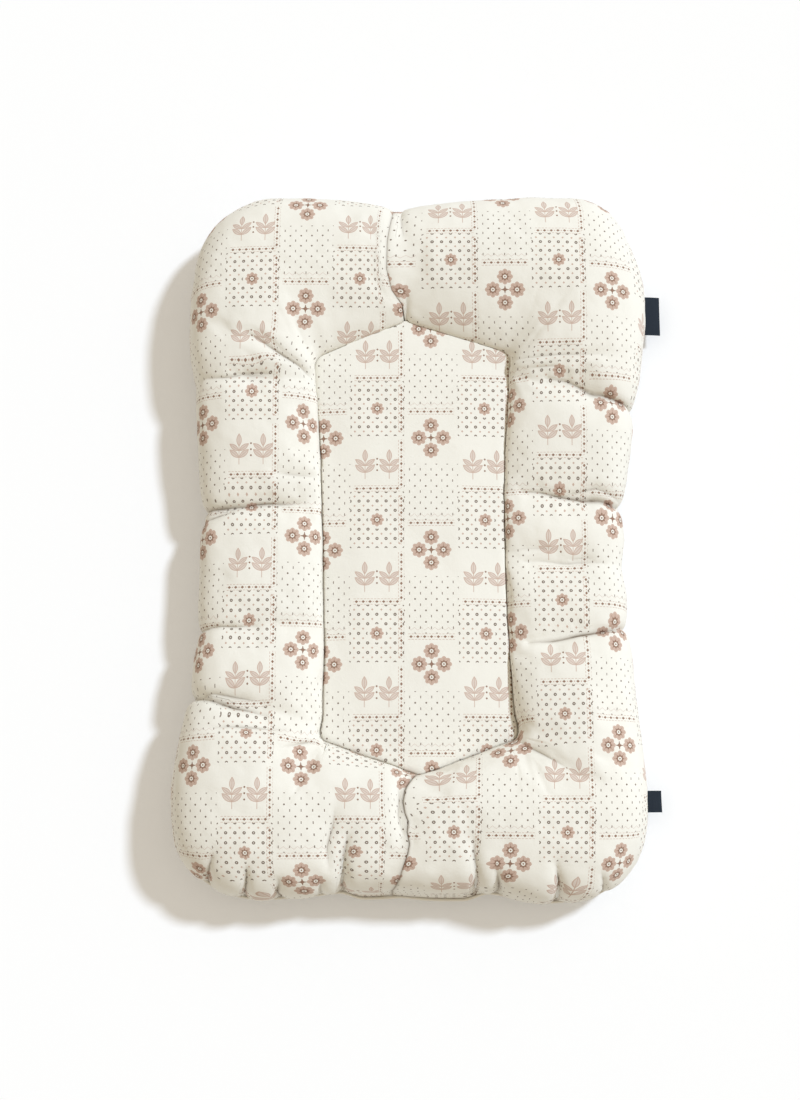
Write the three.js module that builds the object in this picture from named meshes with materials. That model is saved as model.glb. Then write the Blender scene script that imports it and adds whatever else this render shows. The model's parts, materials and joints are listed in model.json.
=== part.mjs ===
import * as THREE from "three";

// Infant lounger: a stuffed ring bolster, waisted in the middle, round a flat padded nest.
// Lengths are in millimetres. The origin is the middle of the underside, on the floor.
// +Y runs to the head end, +X to the side with the labels and +Z up.

// The whole lounger
const loungerLength = 777;
const loungerWidth = 508; // across the corners
const waistWidth = 457;
const bolsterHeight = 105; // at the head and the foot
const waistHeight = 82;

// The nest inside the ring
const nestLength = 508;
const nestCornerWidth = 226;
const nestWaistWidth = 202;
const nestShift = 7; // the nest lies this much nearer the foot end
const nestCornerCut = 15; // how far before each corner its rounding starts
const nestWaistCut = 150;
const nestCrown = 14; // how far the middle of the nest stands over its edge

// Section of the bolster, from the seam at its outer edge to the seam at the nest
const rimSeamHeight = 24;
const rimSeamInset = 6; // the seam lies this far inside the widest line
const bellyHeight = 44; // height of the widest line
const overhang = 5; // the inner wall leans this far over the nest
const overhangHeight = 66;
const nestSeamHeight = 58;
const heelWidth = 49; // the strip of the underside that curves up to the seam
const fullness = 2.6; // of the stuffed upper half: 2 is an ellipse, and more is flatter on top

// Tucks across the bolster
const tuckDepth = 11; // how far a tuck draws the crest down
const tuckNotch = 4; // how far it draws the outer edge in
const tuckSpread = 15; // how quickly the bolster fills out beside it
const shoulderStep = 9; // the first two steps of the surface beside a tuck
const cheekStep = 20;
const ribSpacing = 42; // farther from the tucks

// Cloth, filling and the gaps between them
const clothThickness = 1.5;
const dividerThickness = 1;
const sewnGap = 0.3; // between pieces that are sewn together
const fillingGap = 0.4; // between cloth and filling
const floorGap = 0.6; // between the underside and the filling on it

// Piping and labels
const pipingDiameter = 3.5;
const sideLabelLength = 44; // along the seam
const sideLabelReach = 22; // out of the seam
const careLabelLength = 23;
const careLabelReach = 21;
const labelThickness = 1.2;
const labelDroop = 2.5;

// Colours of the cloth
const printedCotton = { color: 0xf1ece2, roughness: 0.9 };
const plainCotton = { color: 0xe9e3d6, roughness: 0.9 };
const pipingCotton = { color: 0xe6dccb, roughness: 0.85 };
const fibreFilling = { color: 0xf7f6f2, roughness: 1 };
const navyRibbon = { color: 0x33383f, roughness: 0.6 };

const endHalf = loungerLength / 2;
const cornerHalf = loungerWidth / 2;
const waistHalf = waistWidth / 2;
const nestHalf = nestLength / 2;
const nestCornerHalf = nestCornerWidth / 2;
const nestWaistHalf = nestWaistWidth / 2;
const slotHalf = dividerThickness / 2 + fillingGap; // half the slot between two wads
const fillingInset = clothThickness + fillingGap;
const floorLift = clothThickness + floorGap;

// Plan of the outer edge, from the head seam round to the foot seam. Each point is a share of
// the half width at its place, and a share of the half length.
const leftOutlineShares = [
  [-0.07, 0.965], [-0.236, 0.986], [-0.512, 1], [-0.695, 0.989], [-0.835, 0.936], [-0.93, 0.841],
  [-0.964, 0.715], [-0.983, 0.487], [-0.99, 0.295], [-1.008, 0.077], [-0.996, -0.154],
  [-0.977, -0.359], [-0.991, -0.531], [-1.006, -0.731], [-0.98, -0.851], [-0.882, -0.938],
  [-0.709, -0.987], [-0.472, -0.986], [-0.256, -0.972], [-0.05, -0.974],
];
const rightOutlineShares = [
  [-0.07, 0.965], [0.165, 0.986], [0.384, 0.995], [0.604, 1.001], [0.76, 0.992], [0.875, 0.946],
  [0.953, 0.851], [1.004, 0.715], [1.008, 0.545], [1.006, 0.345], [1.002, 0.16], [0.995, -0.05],
  [0.985, -0.25], [0.963, -0.45], [0.965, -0.64], [0.962, -0.79], [0.914, -0.89], [0.787, -0.972],
  [0.56, -1.001], [0.313, -0.977], [0.1, -0.975], [-0.05, -0.974],
];

// Plan of the nest: apex at the head end, corner, waist, corner, apex at the foot end.
// The across shares are of the half width at the corners or at the waist.
const leftNestShares = [[-0.08, 1], [-1.009, 0.827], [-1, -0.12], [-0.92, -0.846], [0.062, -1]];
const rightNestShares = [[-0.08, 1], [0.991, 0.85], [1, -0.04], [1.027, -0.839], [0.062, -1]];

// Ribs across the bolster: where each leaves the outer edge and the nest, as shares of their
// lengths from the head seam, and how strongly a tuck draws the bolster in there.
const leftRibShares = [
  [0, 0, 0.6], [0.096, 0.141, 0], [0.303, 0.19, 0], [0.345, 0.212, 0.8], [0.467, 0.426, 1],
  [0.579, 0.636, 0.6], [0.64, 0.805, 0.9], [0.678, 0.817, 0], [0.915, 0.844, 0], [1, 1, 0.6],
];
const rightRibShares = [
  [0, 0, 0.6], [0.117, 0.157, 0], [0.301, 0.2, 0], [0.389, 0.228, 0.9], [0.477, 0.426, 1],
  [0.531, 0.54, 0.8], [0.584, 0.679, 1], [0.701, 0.823, 0], [0.893, 0.855, 0], [1, 1, 0.6],
];
const sideLabelShare = 0.29; // of the right outer edge, from the head seam
const careLabelShare = 0.732;

function smooth(share) {
  const held = Math.min(Math.max(share, 0), 1);
  return held * held * (3 - 2 * held);
}

// A size that grows from the waist to the two ends
const flareShare = 0.73; // the full size starts this far from the middle
function sizeAt(alongShare, atWaist, atEnds) {
  return atWaist + (atEnds - atWaist) * smooth(Math.abs(alongShare) / flareShare);
}

function outlineCurve(outlineShares) {
  const points = outlineShares.map(([across, along]) => {
    const halfWidth = sizeAt(along, waistHalf, cornerHalf);
    return new THREE.Vector3(across * halfWidth, along * endHalf, 0);
  });
  return new THREE.CatmullRomCurve3(points, false, "centripetal");
}

function nestCurve(nestShares) {
  const points = nestShares.map(([across, along], index) => {
    const half = index === 2 ? nestWaistHalf : nestCornerHalf;
    return new THREE.Vector3(across * half, along * nestHalf - nestShift, 0);
  });
  const path = new THREE.CurvePath();
  let start = points[0];
  for (let index = 1; index < points.length - 1; index += 1) {
    const cut = index === 2 ? nestWaistCut : nestCornerCut;
    const corner = points[index];
    const before = corner.clone().add(points[index - 1].clone().sub(corner).setLength(cut));
    const after = corner.clone().add(points[index + 1].clone().sub(corner).setLength(cut));
    path.add(new THREE.LineCurve3(start, before));
    path.add(new THREE.QuadraticBezierCurve3(before, corner, after));
    start = after;
  }
  path.add(new THREE.LineCurve3(start, points[points.length - 1]));
  return path;
}

// A rib is a vertical section of the bolster: its foot at the nest, the way out, and its width
function ribAt(side, outerShare, innerShare, draw) {
  const inner = side.nest.getPointAt(innerShare);
  const outer = side.outline.getPointAt(outerShare);
  const outward = outer.clone().sub(inner);
  const width = outward.length() - tuckNotch * draw;
  const crest = sizeAt(outer.y / endHalf, waistHeight, bolsterHeight) - tuckDepth * draw;
  outward.normalize();
  return { inner, outward, width, crest };
}

function onRib(rib, { x: reach, y: height }) {
  return new THREE.Vector3(rib.inner.x, rib.inner.y, height).addScaledVector(rib.outward, reach);
}

// The arch over a rib, from the outer seam over the crest to the seam at the nest: points of a
// reach from the nest and a height
const archSteps = [2, 5, 4, 2];
function archOutline(rib, inset) {
  const middle = rib.width / 2;
  const arcs = [
    [rib.width - rimSeamInset, bellyHeight, rimSeamInset, bellyHeight - rimSeamHeight, 2],
    [middle, bellyHeight, middle, rib.crest - bellyHeight, fullness],
    [middle, overhangHeight, middle + overhang, rib.crest - overhangHeight, fullness],
    [0, overhangHeight, overhang, overhangHeight - nestSeamHeight, 2],
  ];
  return arcs.flatMap(([centreReach, centreHeight, across, up, full], arc) => {
    const steps = archSteps[arc];
    const first = arc === 0 ? 0 : 1;
    return Array.from({ length: steps + 1 - first }, (_, step) => {
      const angle = (arc - 1 + (step + first) / steps) * (Math.PI / 2);
      const [out, rise] = [Math.cos(angle), Math.sin(angle)].map(
        (part) => Math.sign(part) * Math.abs(part) ** (2 / full),
      );
      return new THREE.Vector2(centreReach + (across - inset) * out, centreHeight + (up - inset) * rise);
    });
  });
}

function archPoints(rib, inset) {
  return archOutline(rib, inset).map((point) => onRib(rib, point));
}

// Height of the underside: flat on the floor, then curving up along the heel to the outer seam
function undersideHeight(rib, reach) {
  const climb = Math.max(reach - (rib.width - heelWidth), 0) / (heelWidth - rimSeamInset);
  return rimSeamHeight * climb * climb;
}

// Reaches along the heel, from a way short of the outer seam to the edge of the flat
const heelShares = [1, 0.84, 0.62, 0.34, 0];
function heelReaches(rib, seamGap) {
  const flatReach = rib.width - heelWidth;
  const edgeReach = rib.width - rimSeamInset - seamGap;
  return heelShares.map((share) => flatReach + (edgeReach - flatReach) * share);
}

// The closed outline of the filling in a rib: over the arch, down beside the nest and back
// along the floor and the heel
function fillingOutline(rib) {
  const heel = heelReaches(rib, fillingInset).reverse();
  return [
    ...archOutline(rib, fillingInset),
    new THREE.Vector2(fillingInset, nestSeamHeight),
    new THREE.Vector2(fillingInset, floorLift),
    ...heel.map((reach) => new THREE.Vector2(reach, undersideHeight(rib, reach) + floorLift)),
  ];
}

// The mesh, with its faces turned outwards
function solid(positions, faces, look, name) {
  let volume = 0;
  const corner = (index) => new THREE.Vector3().fromArray(positions, 3 * index);
  for (let face = 0; face < faces.length; face += 3) {
    const [a, b, c] = [0, 1, 2].map((step) => corner(faces[face + step]));
    volume += a.dot(b.cross(c));
  }
  const geometry = new THREE.BufferGeometry();
  geometry.setAttribute("position", new THREE.Float32BufferAttribute(positions, 3));
  geometry.setIndex(volume < 0 ? faces.reverse() : faces);
  geometry.computeVertexNormals();
  const mesh = new THREE.Mesh(geometry, new THREE.MeshStandardMaterial(look));
  mesh.name = name;
  return mesh;
}

// The corners of the squares of a grid, row by row
function gridSquares(rows, columns, at) {
  const squares = [];
  for (let row = 0; row < rows - 1; row += 1) {
    for (let column = 0; column < columns - 1; column += 1) {
      squares.push([at(row, column), at(row + 1, column), at(row + 1, column + 1), at(row, column + 1)]);
    }
  }
  return squares;
}

// A closed piece between an upper and a lower grid of points, grid[row][column]. Both are cut
// into triangles alike, so that pieces made from the same ribs lie an even gap apart.
function slab(upper, lower, look, name) {
  const rows = upper.length;
  const columns = upper[0].length;
  const positions = [upper, lower].flat(2).flatMap((point) => point.toArray());
  const at = (layer) => (row, column) => (layer * rows + row) * columns + column;
  const [top, bottom] = [at(0), at(1)];
  const faces = gridSquares(rows, columns, top).flatMap(([a, b, c, d]) => [a, b, c, a, c, d]);
  faces.push(...gridSquares(rows, columns, bottom).flatMap(([a, b, c, d]) => [a, c, b, a, d, c]));
  const edge = [];
  for (let row = 0; row < rows - 1; row += 1) {
    edge.push([row, 0]);
  }
  for (let column = 0; column < columns - 1; column += 1) {
    edge.push([rows - 1, column]);
  }
  for (let row = rows - 1; row > 0; row -= 1) {
    edge.push([row, columns - 1]);
  }
  for (let column = columns - 1; column > 0; column -= 1) {
    edge.push([0, column]);
  }
  edge.forEach((here, index) => {
    const next = edge[(index + 1) % edge.length];
    faces.push(top(...here), bottom(...here), bottom(...next));
    faces.push(top(...here), bottom(...next), top(...next));
  });
  return solid(positions, faces, look, name);
}

// A closed piece through the same outline on each rib, with flat ends
function loft(ribs, outlineOf, look, name) {
  const outlines = ribs.map(outlineOf);
  const count = outlines[0].length;
  const points = outlines.flatMap((outline, row) => outline.map((point) => onRib(ribs[row], point)));
  const positions = points.flatMap((point) => point.toArray());
  const at = (row, column) => row * count + (column % count);
  const faces = gridSquares(ribs.length, count + 1, at).flatMap(([a, b, c, d]) => [a, b, c, a, c, d]);
  const lastRow = ribs.length - 1;
  for (const [a, b, c] of THREE.ShapeUtils.triangulateShape(outlines[0], [])) {
    faces.push(at(0, a), at(0, b), at(0, c));
  }
  for (const [a, b, c] of THREE.ShapeUtils.triangulateShape(outlines[lastRow], [])) {
    faces.push(at(lastRow, a), at(lastRow, c), at(lastRow, b));
  }
  return solid(positions, faces, look, name);
}

// A closed round piece between an upper and a lower set of rings of points, ring[place], each
// set running from the edge inwards and closed by one middle point
function disc(upperRings, upperMiddle, lowerRings, lowerMiddle, look, name) {
  const count = upperRings[0].length;
  const positions = [];
  const faces = [];
  const addSide = (rings, middle, turned) => {
    const first = positions.length / 3;
    positions.push(...rings.flat().flatMap((point) => point.toArray()), ...middle.toArray());
    const last = first + rings.length * count;
    const face = (a, b, c) => faces.push(...(turned ? [a, c, b] : [a, b, c]));
    for (let place = 0; place < count; place += 1) {
      const next = (place + 1) % count;
      for (let ring = 0; ring < rings.length - 1; ring += 1) {
        const [here, inner] = [first + ring * count, first + (ring + 1) * count];
        face(here + place, here + next, inner + next);
        face(here + place, inner + next, inner + place);
      }
      face(last - count + place, last - count + next, last);
    }
    return first;
  };
  const top = addSide(upperRings, upperMiddle, false);
  const bottom = addSide(lowerRings, lowerMiddle, true);
  for (let place = 0; place < count; place += 1) {
    const next = (place + 1) % count;
    faces.push(top + place, bottom + place, bottom + next);
    faces.push(top + place, bottom + next, top + next);
  }
  return solid(positions, faces, look, name);
}

// The ribs of one side, cell by cell between the tucks. Each cell stops short of its tucks, which
// leaves the slots that hold the dividers.
function sideCells(side) {
  const outlineLength = side.outline.getLength();
  const nestLine = side.nest.getLength();
  const tucks = side.ribShares.filter((rib) => rib[2] > 0);
  const innerAt = (outerShare) => {
    const next = side.ribShares.findIndex((rib) => rib[0] >= outerShare);
    const [before, after] = [side.ribShares[next - 1], side.ribShares[next]];
    const share = (outerShare - before[0]) / (after[0] - before[0]);
    return before[1] + (after[1] - before[1]) * share;
  };
  return tucks.slice(1).map((end, index) => {
    const start = tucks[index];
    const cellLength = (end[0] - start[0]) * outlineLength;
    const edgePlaces = [slotHalf, slotHalf + shoulderStep, slotHalf + shoulderStep + cheekStep];
    const middleLength = cellLength - 2 * edgePlaces[2];
    const count = Math.max(Math.round(middleLength / ribSpacing), 1);
    const middlePlaces = Array.from(
      { length: count - 1 },
      (_, step) => edgePlaces[2] + (middleLength * (step + 1)) / count,
    );
    const endPlaces = edgePlaces.map((place) => cellLength - place).reverse();
    const places = [...edgePlaces, ...middlePlaces, ...endPlaces];
    return places.map((place, position) => {
      const outerShare = start[0] + place / outlineLength;
      const draw = Math.max(
        start[2] * Math.exp((slotHalf - place) / tuckSpread),
        end[2] * Math.exp((place + slotHalf - cellLength) / tuckSpread),
      );
      let innerShare = innerAt(outerShare);
      if (position === 0) {
        innerShare = start[1] + slotHalf / nestLine;
      } else if (position === places.length - 1) {
        innerShare = end[1] - slotHalf / nestLine;
      }
      return ribAt(side, outerShare, innerShare, draw);
    });
  });
}

// A rib a little way along both edges from a tuck
function ribBeside(side, [outerShare, innerShare, draw], distance) {
  const outer = outerShare + distance / side.outline.getLength();
  const inner = innerShare + distance / side.nest.getLength();
  return ribAt(side, outer, inner, draw);
}

function makeSide(name, outlineShares, nestShares, ribShares) {
  const side = { name, ribShares, outline: outlineCurve(outlineShares), nest: nestCurve(nestShares) };
  side.cells = sideCells(side);
  side.tucks = ribShares.filter((rib) => rib[2] > 0);
  return side;
}

const left = makeSide("left", leftOutlineShares, leftNestShares, leftRibShares);
const right = makeSide("right", rightOutlineShares, rightNestShares, rightRibShares);

// Once round the lounger: one rib for each place along the edge, without the second one of each
// pair beside a slot
const leftRound = left.cells.flatMap((cell, index) => (index === 0 ? cell : cell.slice(1)));
const rightRound = right.cells.flatMap((cell, index) => cell.slice(index === 0 ? 1 : 0, -1));
const wholeRound = [...leftRound, ...rightRound.reverse()];

// The printed cover of one half of the ring, from the head seam to the foot seam
function bolsterCover(side) {
  const head = ribBeside(side, side.tucks[0], sewnGap / 2);
  const foot = ribBeside(side, side.tucks[side.tucks.length - 1], -sewnGap / 2);
  const ribs = [head, ...side.cells.flat(), foot];
  const outerFace = ribs.map((rib) => archPoints(rib, 0));
  const innerFace = ribs.map((rib) => archPoints(rib, clothThickness));
  return slab(outerFace, innerFace, printedCotton, `bolster_cover_${side.name}`);
}

const cellNames = ["head_corner", "upper_side", "middle_side", "lower_side", "foot_corner"];
function stuffingWads(side) {
  return side.cells.map((ribs, index) => {
    return loft(ribs, fillingOutline, fibreFilling, `wad_${cellNames[index]}_${side.name}`);
  });
}

// The panels sewn across the ring inside, one in the slot under each tuck
function tuckDividers(side) {
  return side.tucks.slice(1, -1).map((tuck, index) => {
    const ribs = [-1, 1].map((way) => ribBeside(side, tuck, (way * dividerThickness) / 2));
    return loft(ribs, fillingOutline, plainCotton, `tuck_divider_${index + 1}_${side.name}`);
  });
}

// The panels between the two halves of the ring
function endDivider(name, place) {
  const halfThickness = dividerThickness / 2;
  const ribs = [left, right].map((side) => {
    const tuck = side.tucks.at(place);
    return ribBeside(side, tuck, place === 0 ? halfThickness : -halfThickness);
  });
  return loft(ribs, fillingOutline, plainCotton, name);
}

// A ring of points round the nest, a share of the way from its middle to a reach on each rib
const nestMiddle = new THREE.Vector3(0, -nestShift, 0);
function nestRing(reach, share, height) {
  return wholeRound.map((rib) => {
    const point = nestMiddle.clone().lerp(onRib(rib, { x: reach, y: 0 }), share);
    return point.setZ(height);
  });
}

// The top of the nest: level under the edge of the bolster, rising to a flat crown
function nestTop(edgeReach, drop) {
  const edgeHeight = nestSeamHeight - sewnGap - drop;
  const riseShares = [[0.95, 0.5], [0.87, 0.85], [0.74, 1]];
  const rings = [
    nestRing(edgeReach, 1, edgeHeight),
    nestRing(-overhang / 2, 1, edgeHeight),
    ...riseShares.map(([share, rise]) => nestRing(-overhang / 2, share, edgeHeight + nestCrown * rise)),
  ];
  const middle = nestMiddle.clone().setZ(edgeHeight + nestCrown);
  return [rings, middle];
}

function centrePanel() {
  const seamAllowance = 1; // of the panel, out under the edges of the covers
  const [upper, upperMiddle] = nestTop(seamAllowance, 0);
  const [lower, lowerMiddle] = nestTop(seamAllowance, clothThickness);
  return disc(upper, upperMiddle, lower, lowerMiddle, printedCotton, "centre_panel");
}

function centrePad() {
  const [upper, upperMiddle] = nestTop(-sewnGap, clothThickness + fillingGap);
  const lower = [nestRing(-sewnGap, 1, floorLift)];
  const lowerMiddle = nestMiddle.clone().setZ(floorLift);
  return disc(upper, upperMiddle, lower, lowerMiddle, fibreFilling, "centre_pad");
}

// The piping lies in the seam, just under the lower edge of the covers
const pipingRadius = pipingDiameter / 2;
const pipingStandOff = 1.2; // its middle lies this far outside the seam
const pipingHeight = rimSeamHeight - sewnGap - pipingRadius;
function pipingReach(rib) {
  return rib.width - rimSeamInset + pipingStandOff;
}

function perimeterPiping() {
  const sides = 6;
  const positions = wholeRound.flatMap((rib) => {
    return Array.from({ length: sides }, (_, step) => {
      const angle = (step / sides) * 2 * Math.PI + Math.PI / 2;
      const reach = pipingReach(rib) + pipingRadius * Math.cos(angle);
      return onRib(rib, { x: reach, y: pipingHeight + pipingRadius * Math.sin(angle) }).toArray();
    }).flat();
  });
  const count = wholeRound.length;
  const at = (place, step) => (place % count) * sides + (step % sides);
  const faces = gridSquares(count + 1, sides + 1, at).flatMap(([a, b, c, d]) => [a, b, c, a, c, d]);
  return solid(positions, faces, pipingCotton, "perimeter_piping");
}

// The underside lies flat on the floor and curves up at the heel to the seam
function basePanel() {
  const seamGap = pipingRadius + sewnGap - pipingStandOff;
  const baseRings = (lift) => heelShares.map((_, ring) => {
    return wholeRound.map((rib) => {
      const reach = heelReaches(rib, seamGap)[ring];
      return onRib(rib, { x: reach, y: undersideHeight(rib, reach) + lift });
    });
  });
  const topMiddle = nestMiddle.clone().setZ(clothThickness);
  return disc(baseRings(clothThickness), topMiddle, baseRings(0), nestMiddle, plainCotton, "base_panel");
}

// Outline of a folded ribbon seen from its end: round at the root that it turns about, drooping
// towards its fold
function ribbonOutline(reach) {
  const radius = labelThickness / 2;
  const tipReach = reach - radius;
  const steps = 5;
  const points = [];
  const addAt = (share, side, turn) => {
    const slope = Math.atan2(-2 * labelDroop * share, tipReach);
    const angle = slope + (side * Math.PI) / 2 + turn;
    const x = tipReach * share + radius * Math.cos(angle);
    const y = -labelDroop * share * share + radius * Math.sin(angle);
    points.push(new THREE.Vector2(x, y));
  };
  for (let step = 0; step <= steps; step += 1) {
    addAt(step / steps, -1, 0);
  }
  for (let step = 1; step < steps; step += 1) {
    addAt(1, -1, (step / steps) * Math.PI);
  }
  for (let step = steps; step >= 0; step -= 1) {
    addAt(step / steps, 1, 0);
  }
  for (let step = 1; step < steps; step += 1) {
    addAt(0, 1, (step / steps) * Math.PI);
  }
  return points;
}

// The root lies just outside the piping
function ribbonLabel(name, outlineShare, length, reach) {
  const shape = new THREE.Shape(ribbonOutline(reach));
  const geometry = new THREE.ExtrudeGeometry(shape, { depth: length, bevelEnabled: false });
  geometry.translate(0, 0, -length / 2);
  const mesh = new THREE.Mesh(geometry, new THREE.MeshStandardMaterial(navyRibbon));
  mesh.name = name;
  const up = new THREE.Vector3(0, 0, 1);
  const outward = up.clone().cross(right.outline.getTangentAt(outlineShare));
  const rootReach = pipingStandOff + pipingRadius + sewnGap + labelThickness / 2 - rimSeamInset;
  const root = right.outline.getPointAt(outlineShare).addScaledVector(outward, rootReach);
  mesh.position.copy(root).setZ(pipingHeight);
  const turned = new THREE.Matrix4().makeBasis(outward, up, outward.clone().cross(up));
  mesh.quaternion.setFromRotationMatrix(turned);
  return mesh;
}

const lounger = new THREE.Group();
for (const side of [left, right]) {
  const half = new THREE.Group();
  half.add(bolsterCover(side), ...stuffingWads(side), ...tuckDividers(side));
  lounger.add(half);
}
lounger.add(endDivider("head_divider", 0), endDivider("foot_divider", -1));
lounger.add(centrePanel(), centrePad(), perimeterPiping(), basePanel());
lounger.add(ribbonLabel("side_label", sideLabelShare, sideLabelLength, sideLabelReach));
lounger.add(ribbonLabel("care_label", careLabelShare, careLabelLength, careLabelReach));

export default lounger;
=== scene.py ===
import json
import math

import bpy
import numpy as np
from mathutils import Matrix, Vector, noise
from mathutils.bvhtree import BVHTree
from mathutils.geometry import delaunay_2d_cdt


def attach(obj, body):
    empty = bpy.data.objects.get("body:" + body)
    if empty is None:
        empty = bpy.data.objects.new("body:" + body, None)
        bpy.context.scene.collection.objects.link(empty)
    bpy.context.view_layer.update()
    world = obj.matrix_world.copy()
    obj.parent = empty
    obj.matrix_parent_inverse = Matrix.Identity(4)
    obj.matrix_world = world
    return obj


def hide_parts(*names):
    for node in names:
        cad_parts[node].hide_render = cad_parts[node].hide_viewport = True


# Infant lounger: a stuffed ring bolster with sewn tucks, waisted in the middle, round a flat
# padded nest, in printed cotton. Lengths are in metres. +Y runs to the head end, +X to the side
# with the labels and +Z up.
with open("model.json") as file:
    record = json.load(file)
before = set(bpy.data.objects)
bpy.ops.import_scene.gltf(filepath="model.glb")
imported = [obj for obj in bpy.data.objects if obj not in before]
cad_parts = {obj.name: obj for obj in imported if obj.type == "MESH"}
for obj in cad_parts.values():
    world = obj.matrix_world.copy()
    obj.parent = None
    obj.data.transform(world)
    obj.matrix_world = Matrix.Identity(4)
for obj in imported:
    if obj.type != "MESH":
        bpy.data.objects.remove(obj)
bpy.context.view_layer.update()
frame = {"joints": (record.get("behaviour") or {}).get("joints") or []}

# The whole lounger
lounger_length = 0.777
lounger_width = 0.508  # across the corners
waist_width = 0.457
bolster_height = 0.105  # at the head and the foot
waist_height = 0.082

# The nest inside the ring
nest_length = 0.508
nest_corner_width = 0.226
nest_waist_width = 0.202
nest_shift = 0.007  # the nest lies this much nearer the foot end
nest_corner_cut = 0.015  # how far before each corner its rounding starts
nest_waist_cut = 0.150
nest_crown = 0.014
nest_crown_reach = 0.060  # the panel rises to its crown this far in from its seam
nest_shoulder_share = 0.68  # how much of its crown the panel reaches beside the covers
nest_shoulder_width = 0.013
nest_shoulder_start_share = 0.45  # it starts at this share of how far the covers lean over it
nest_shoulder_power = 2.5  # 2 would be an ellipse
nest_head_lift = 0.0115  # at the head end the panel lies this much higher against the covers
nest_head_lift_reach = 0.004
nest_head_crown_reach = 0.050
panel_tuck_in = 0.001  # the panel goes this far under the covers
panel_drop = 0.0003  # and starts this far below their seam
panel_clearance = 0.0004
panel_even_reach = 0.02  # nearer its seam than this it lies smooth against the covers
panel_press_gap = 0.0009  # along the sides it stays under covers that lie this near in plan
pad_inset = 0.0075
pad_gap = 0.0012
nest_edge_insets = [
    0.0005, 0.0018, 0.003, 0.004, 0.0048, 0.0056, 0.0064, 0.0073, 0.0084, 0.0097, 0.0112, 0.013, 0.0152,
]  # loops of points on the panel beside its seam

# Section of the bolster, from the seam at its outer edge to the seam at the nest
rim_seam_height = 0.024
rim_seam_inset = 0.006
foot_seam_inset = -0.0022  # near the middle of the foot end, where the piping shows
bared_share = 0.20  # the piping shows this far to each side of that middle, in half widths
bared_blend_share = 0.12  # and disappears over this much more
foot_share = 0.88  # the foot end starts at this share of the half length
foot_blend_share = 0.06
belly_height = 0.044
side_overhang = 0.008  # how far the inner wall leans over the nest
head_overhang = 0.0060
foot_overhang = 0.005
overhang_height = 0.066
head_overhang_height = 0.069
nest_ends_from = 0.188  # the nest's slanting ends start this far from the middle
nest_ends_blend = 0.028  # and over this length the inner wall takes on their shape
nest_seam_height = 0.058
heel_width = 0.049  # the strip of the underside that curves up to the seam
fullness = 2.6  # of the stuffed upper half: 2 is an ellipse, and more is flatter on top
head_fullness = 1.5  # of the slope down to the nest at the head end
head_slack = 0.6  # how much less the stuffing presses that slope out
head_seam_slack = 0.7  # how much less it presses out right beside the head seam
head_seam_slack_width = 0.016

# Cloth, filling and the gaps between them
cloth_thickness = 0.0012
filling_gap = 0.0016
floor_gap = 0.0006
wad_edge_gap = 0.003
wad_tuck_gap = 0.0025
web_gap = 0.0006
web_half_thickness = 0.0004
seam_clearance = 0.0003

# Piping and labels
piping_diameter = 0.0035
piping_stand_off = 0.0012  # its middle lies this far outside the seam
side_label_length = 0.044
side_label_reach = 0.022
care_label_length = 0.023
care_label_reach = 0.021
ribbon_thickness = 0.0005
label_droop = 0.0025
label_curl = 0.0004
label_curl_turn = 5.0  # radians of the curl's wave over a label's length
side_label_curl_start = 1.98  # radians into that wave at the label's middle
care_label_curl_start = 1.89
label_half_gap = 0.00045  # between the middles of the folded ribbon's two layers, halved
label_pinched_half_gap = 0.00028  # the same where the seam pinches them together
label_pinch_share = 0.3  # of the way to its fold, over which the pinch opens
label_root = 0.0005  # the ribbon shows from this far outside its hinge

end_half = lounger_length / 2
corner_half = lounger_width / 2
waist_half = waist_width / 2
nest_half = nest_length / 2
nest_corner_half = nest_corner_width / 2
nest_waist_half = nest_waist_width / 2
piping_radius = piping_diameter / 2
piping_height = rim_seam_height - seam_clearance - piping_radius
piping_seam_gap = piping_radius + seam_clearance - piping_stand_off

# Plan of the outer edge from the head seam round to the foot seam, in shares of the half width
# at its place and of the half length
left_outline_shares = [
    (-0.07, 0.965), (-0.236, 0.986), (-0.512, 1), (-0.695, 0.989), (-0.835, 0.936), (-0.93, 0.841),
    (-0.964, 0.715), (-0.983, 0.487), (-0.99, 0.295), (-1.008, 0.077), (-0.996, -0.154),
    (-0.977, -0.359), (-0.991, -0.531), (-1.006, -0.731), (-0.98, -0.851), (-0.882, -0.938),
    (-0.709, -0.987), (-0.472, -0.986), (-0.256, -0.972), (-0.05, -0.974),
]
right_outline_shares = [
    (-0.07, 0.965), (0.165, 0.986), (0.384, 0.995), (0.604, 1.001), (0.76, 0.992), (0.875, 0.946),
    (0.953, 0.851), (1.004, 0.715), (1.008, 0.545), (1.006, 0.345), (1.002, 0.16), (0.995, -0.05),
    (0.985, -0.25), (0.963, -0.45), (0.965, -0.64), (0.962, -0.79), (0.914, -0.89), (0.787, -0.972),
    (0.56, -1.001), (0.313, -0.977), (0.1, -0.975), (-0.05, -0.974),
]

# Plan of the nest: apex at the head end, corner, waist, corner, apex at the foot end
left_nest_shares = [(-0.08, 1), (-1.009, 0.827), (-1, -0.12), (-0.92, -0.846), (0.062, -1)]
right_nest_shares = [(-0.08, 1), (0.991, 0.85), (1, -0.04), (1.027, -0.839), (0.062, -1)]

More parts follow.
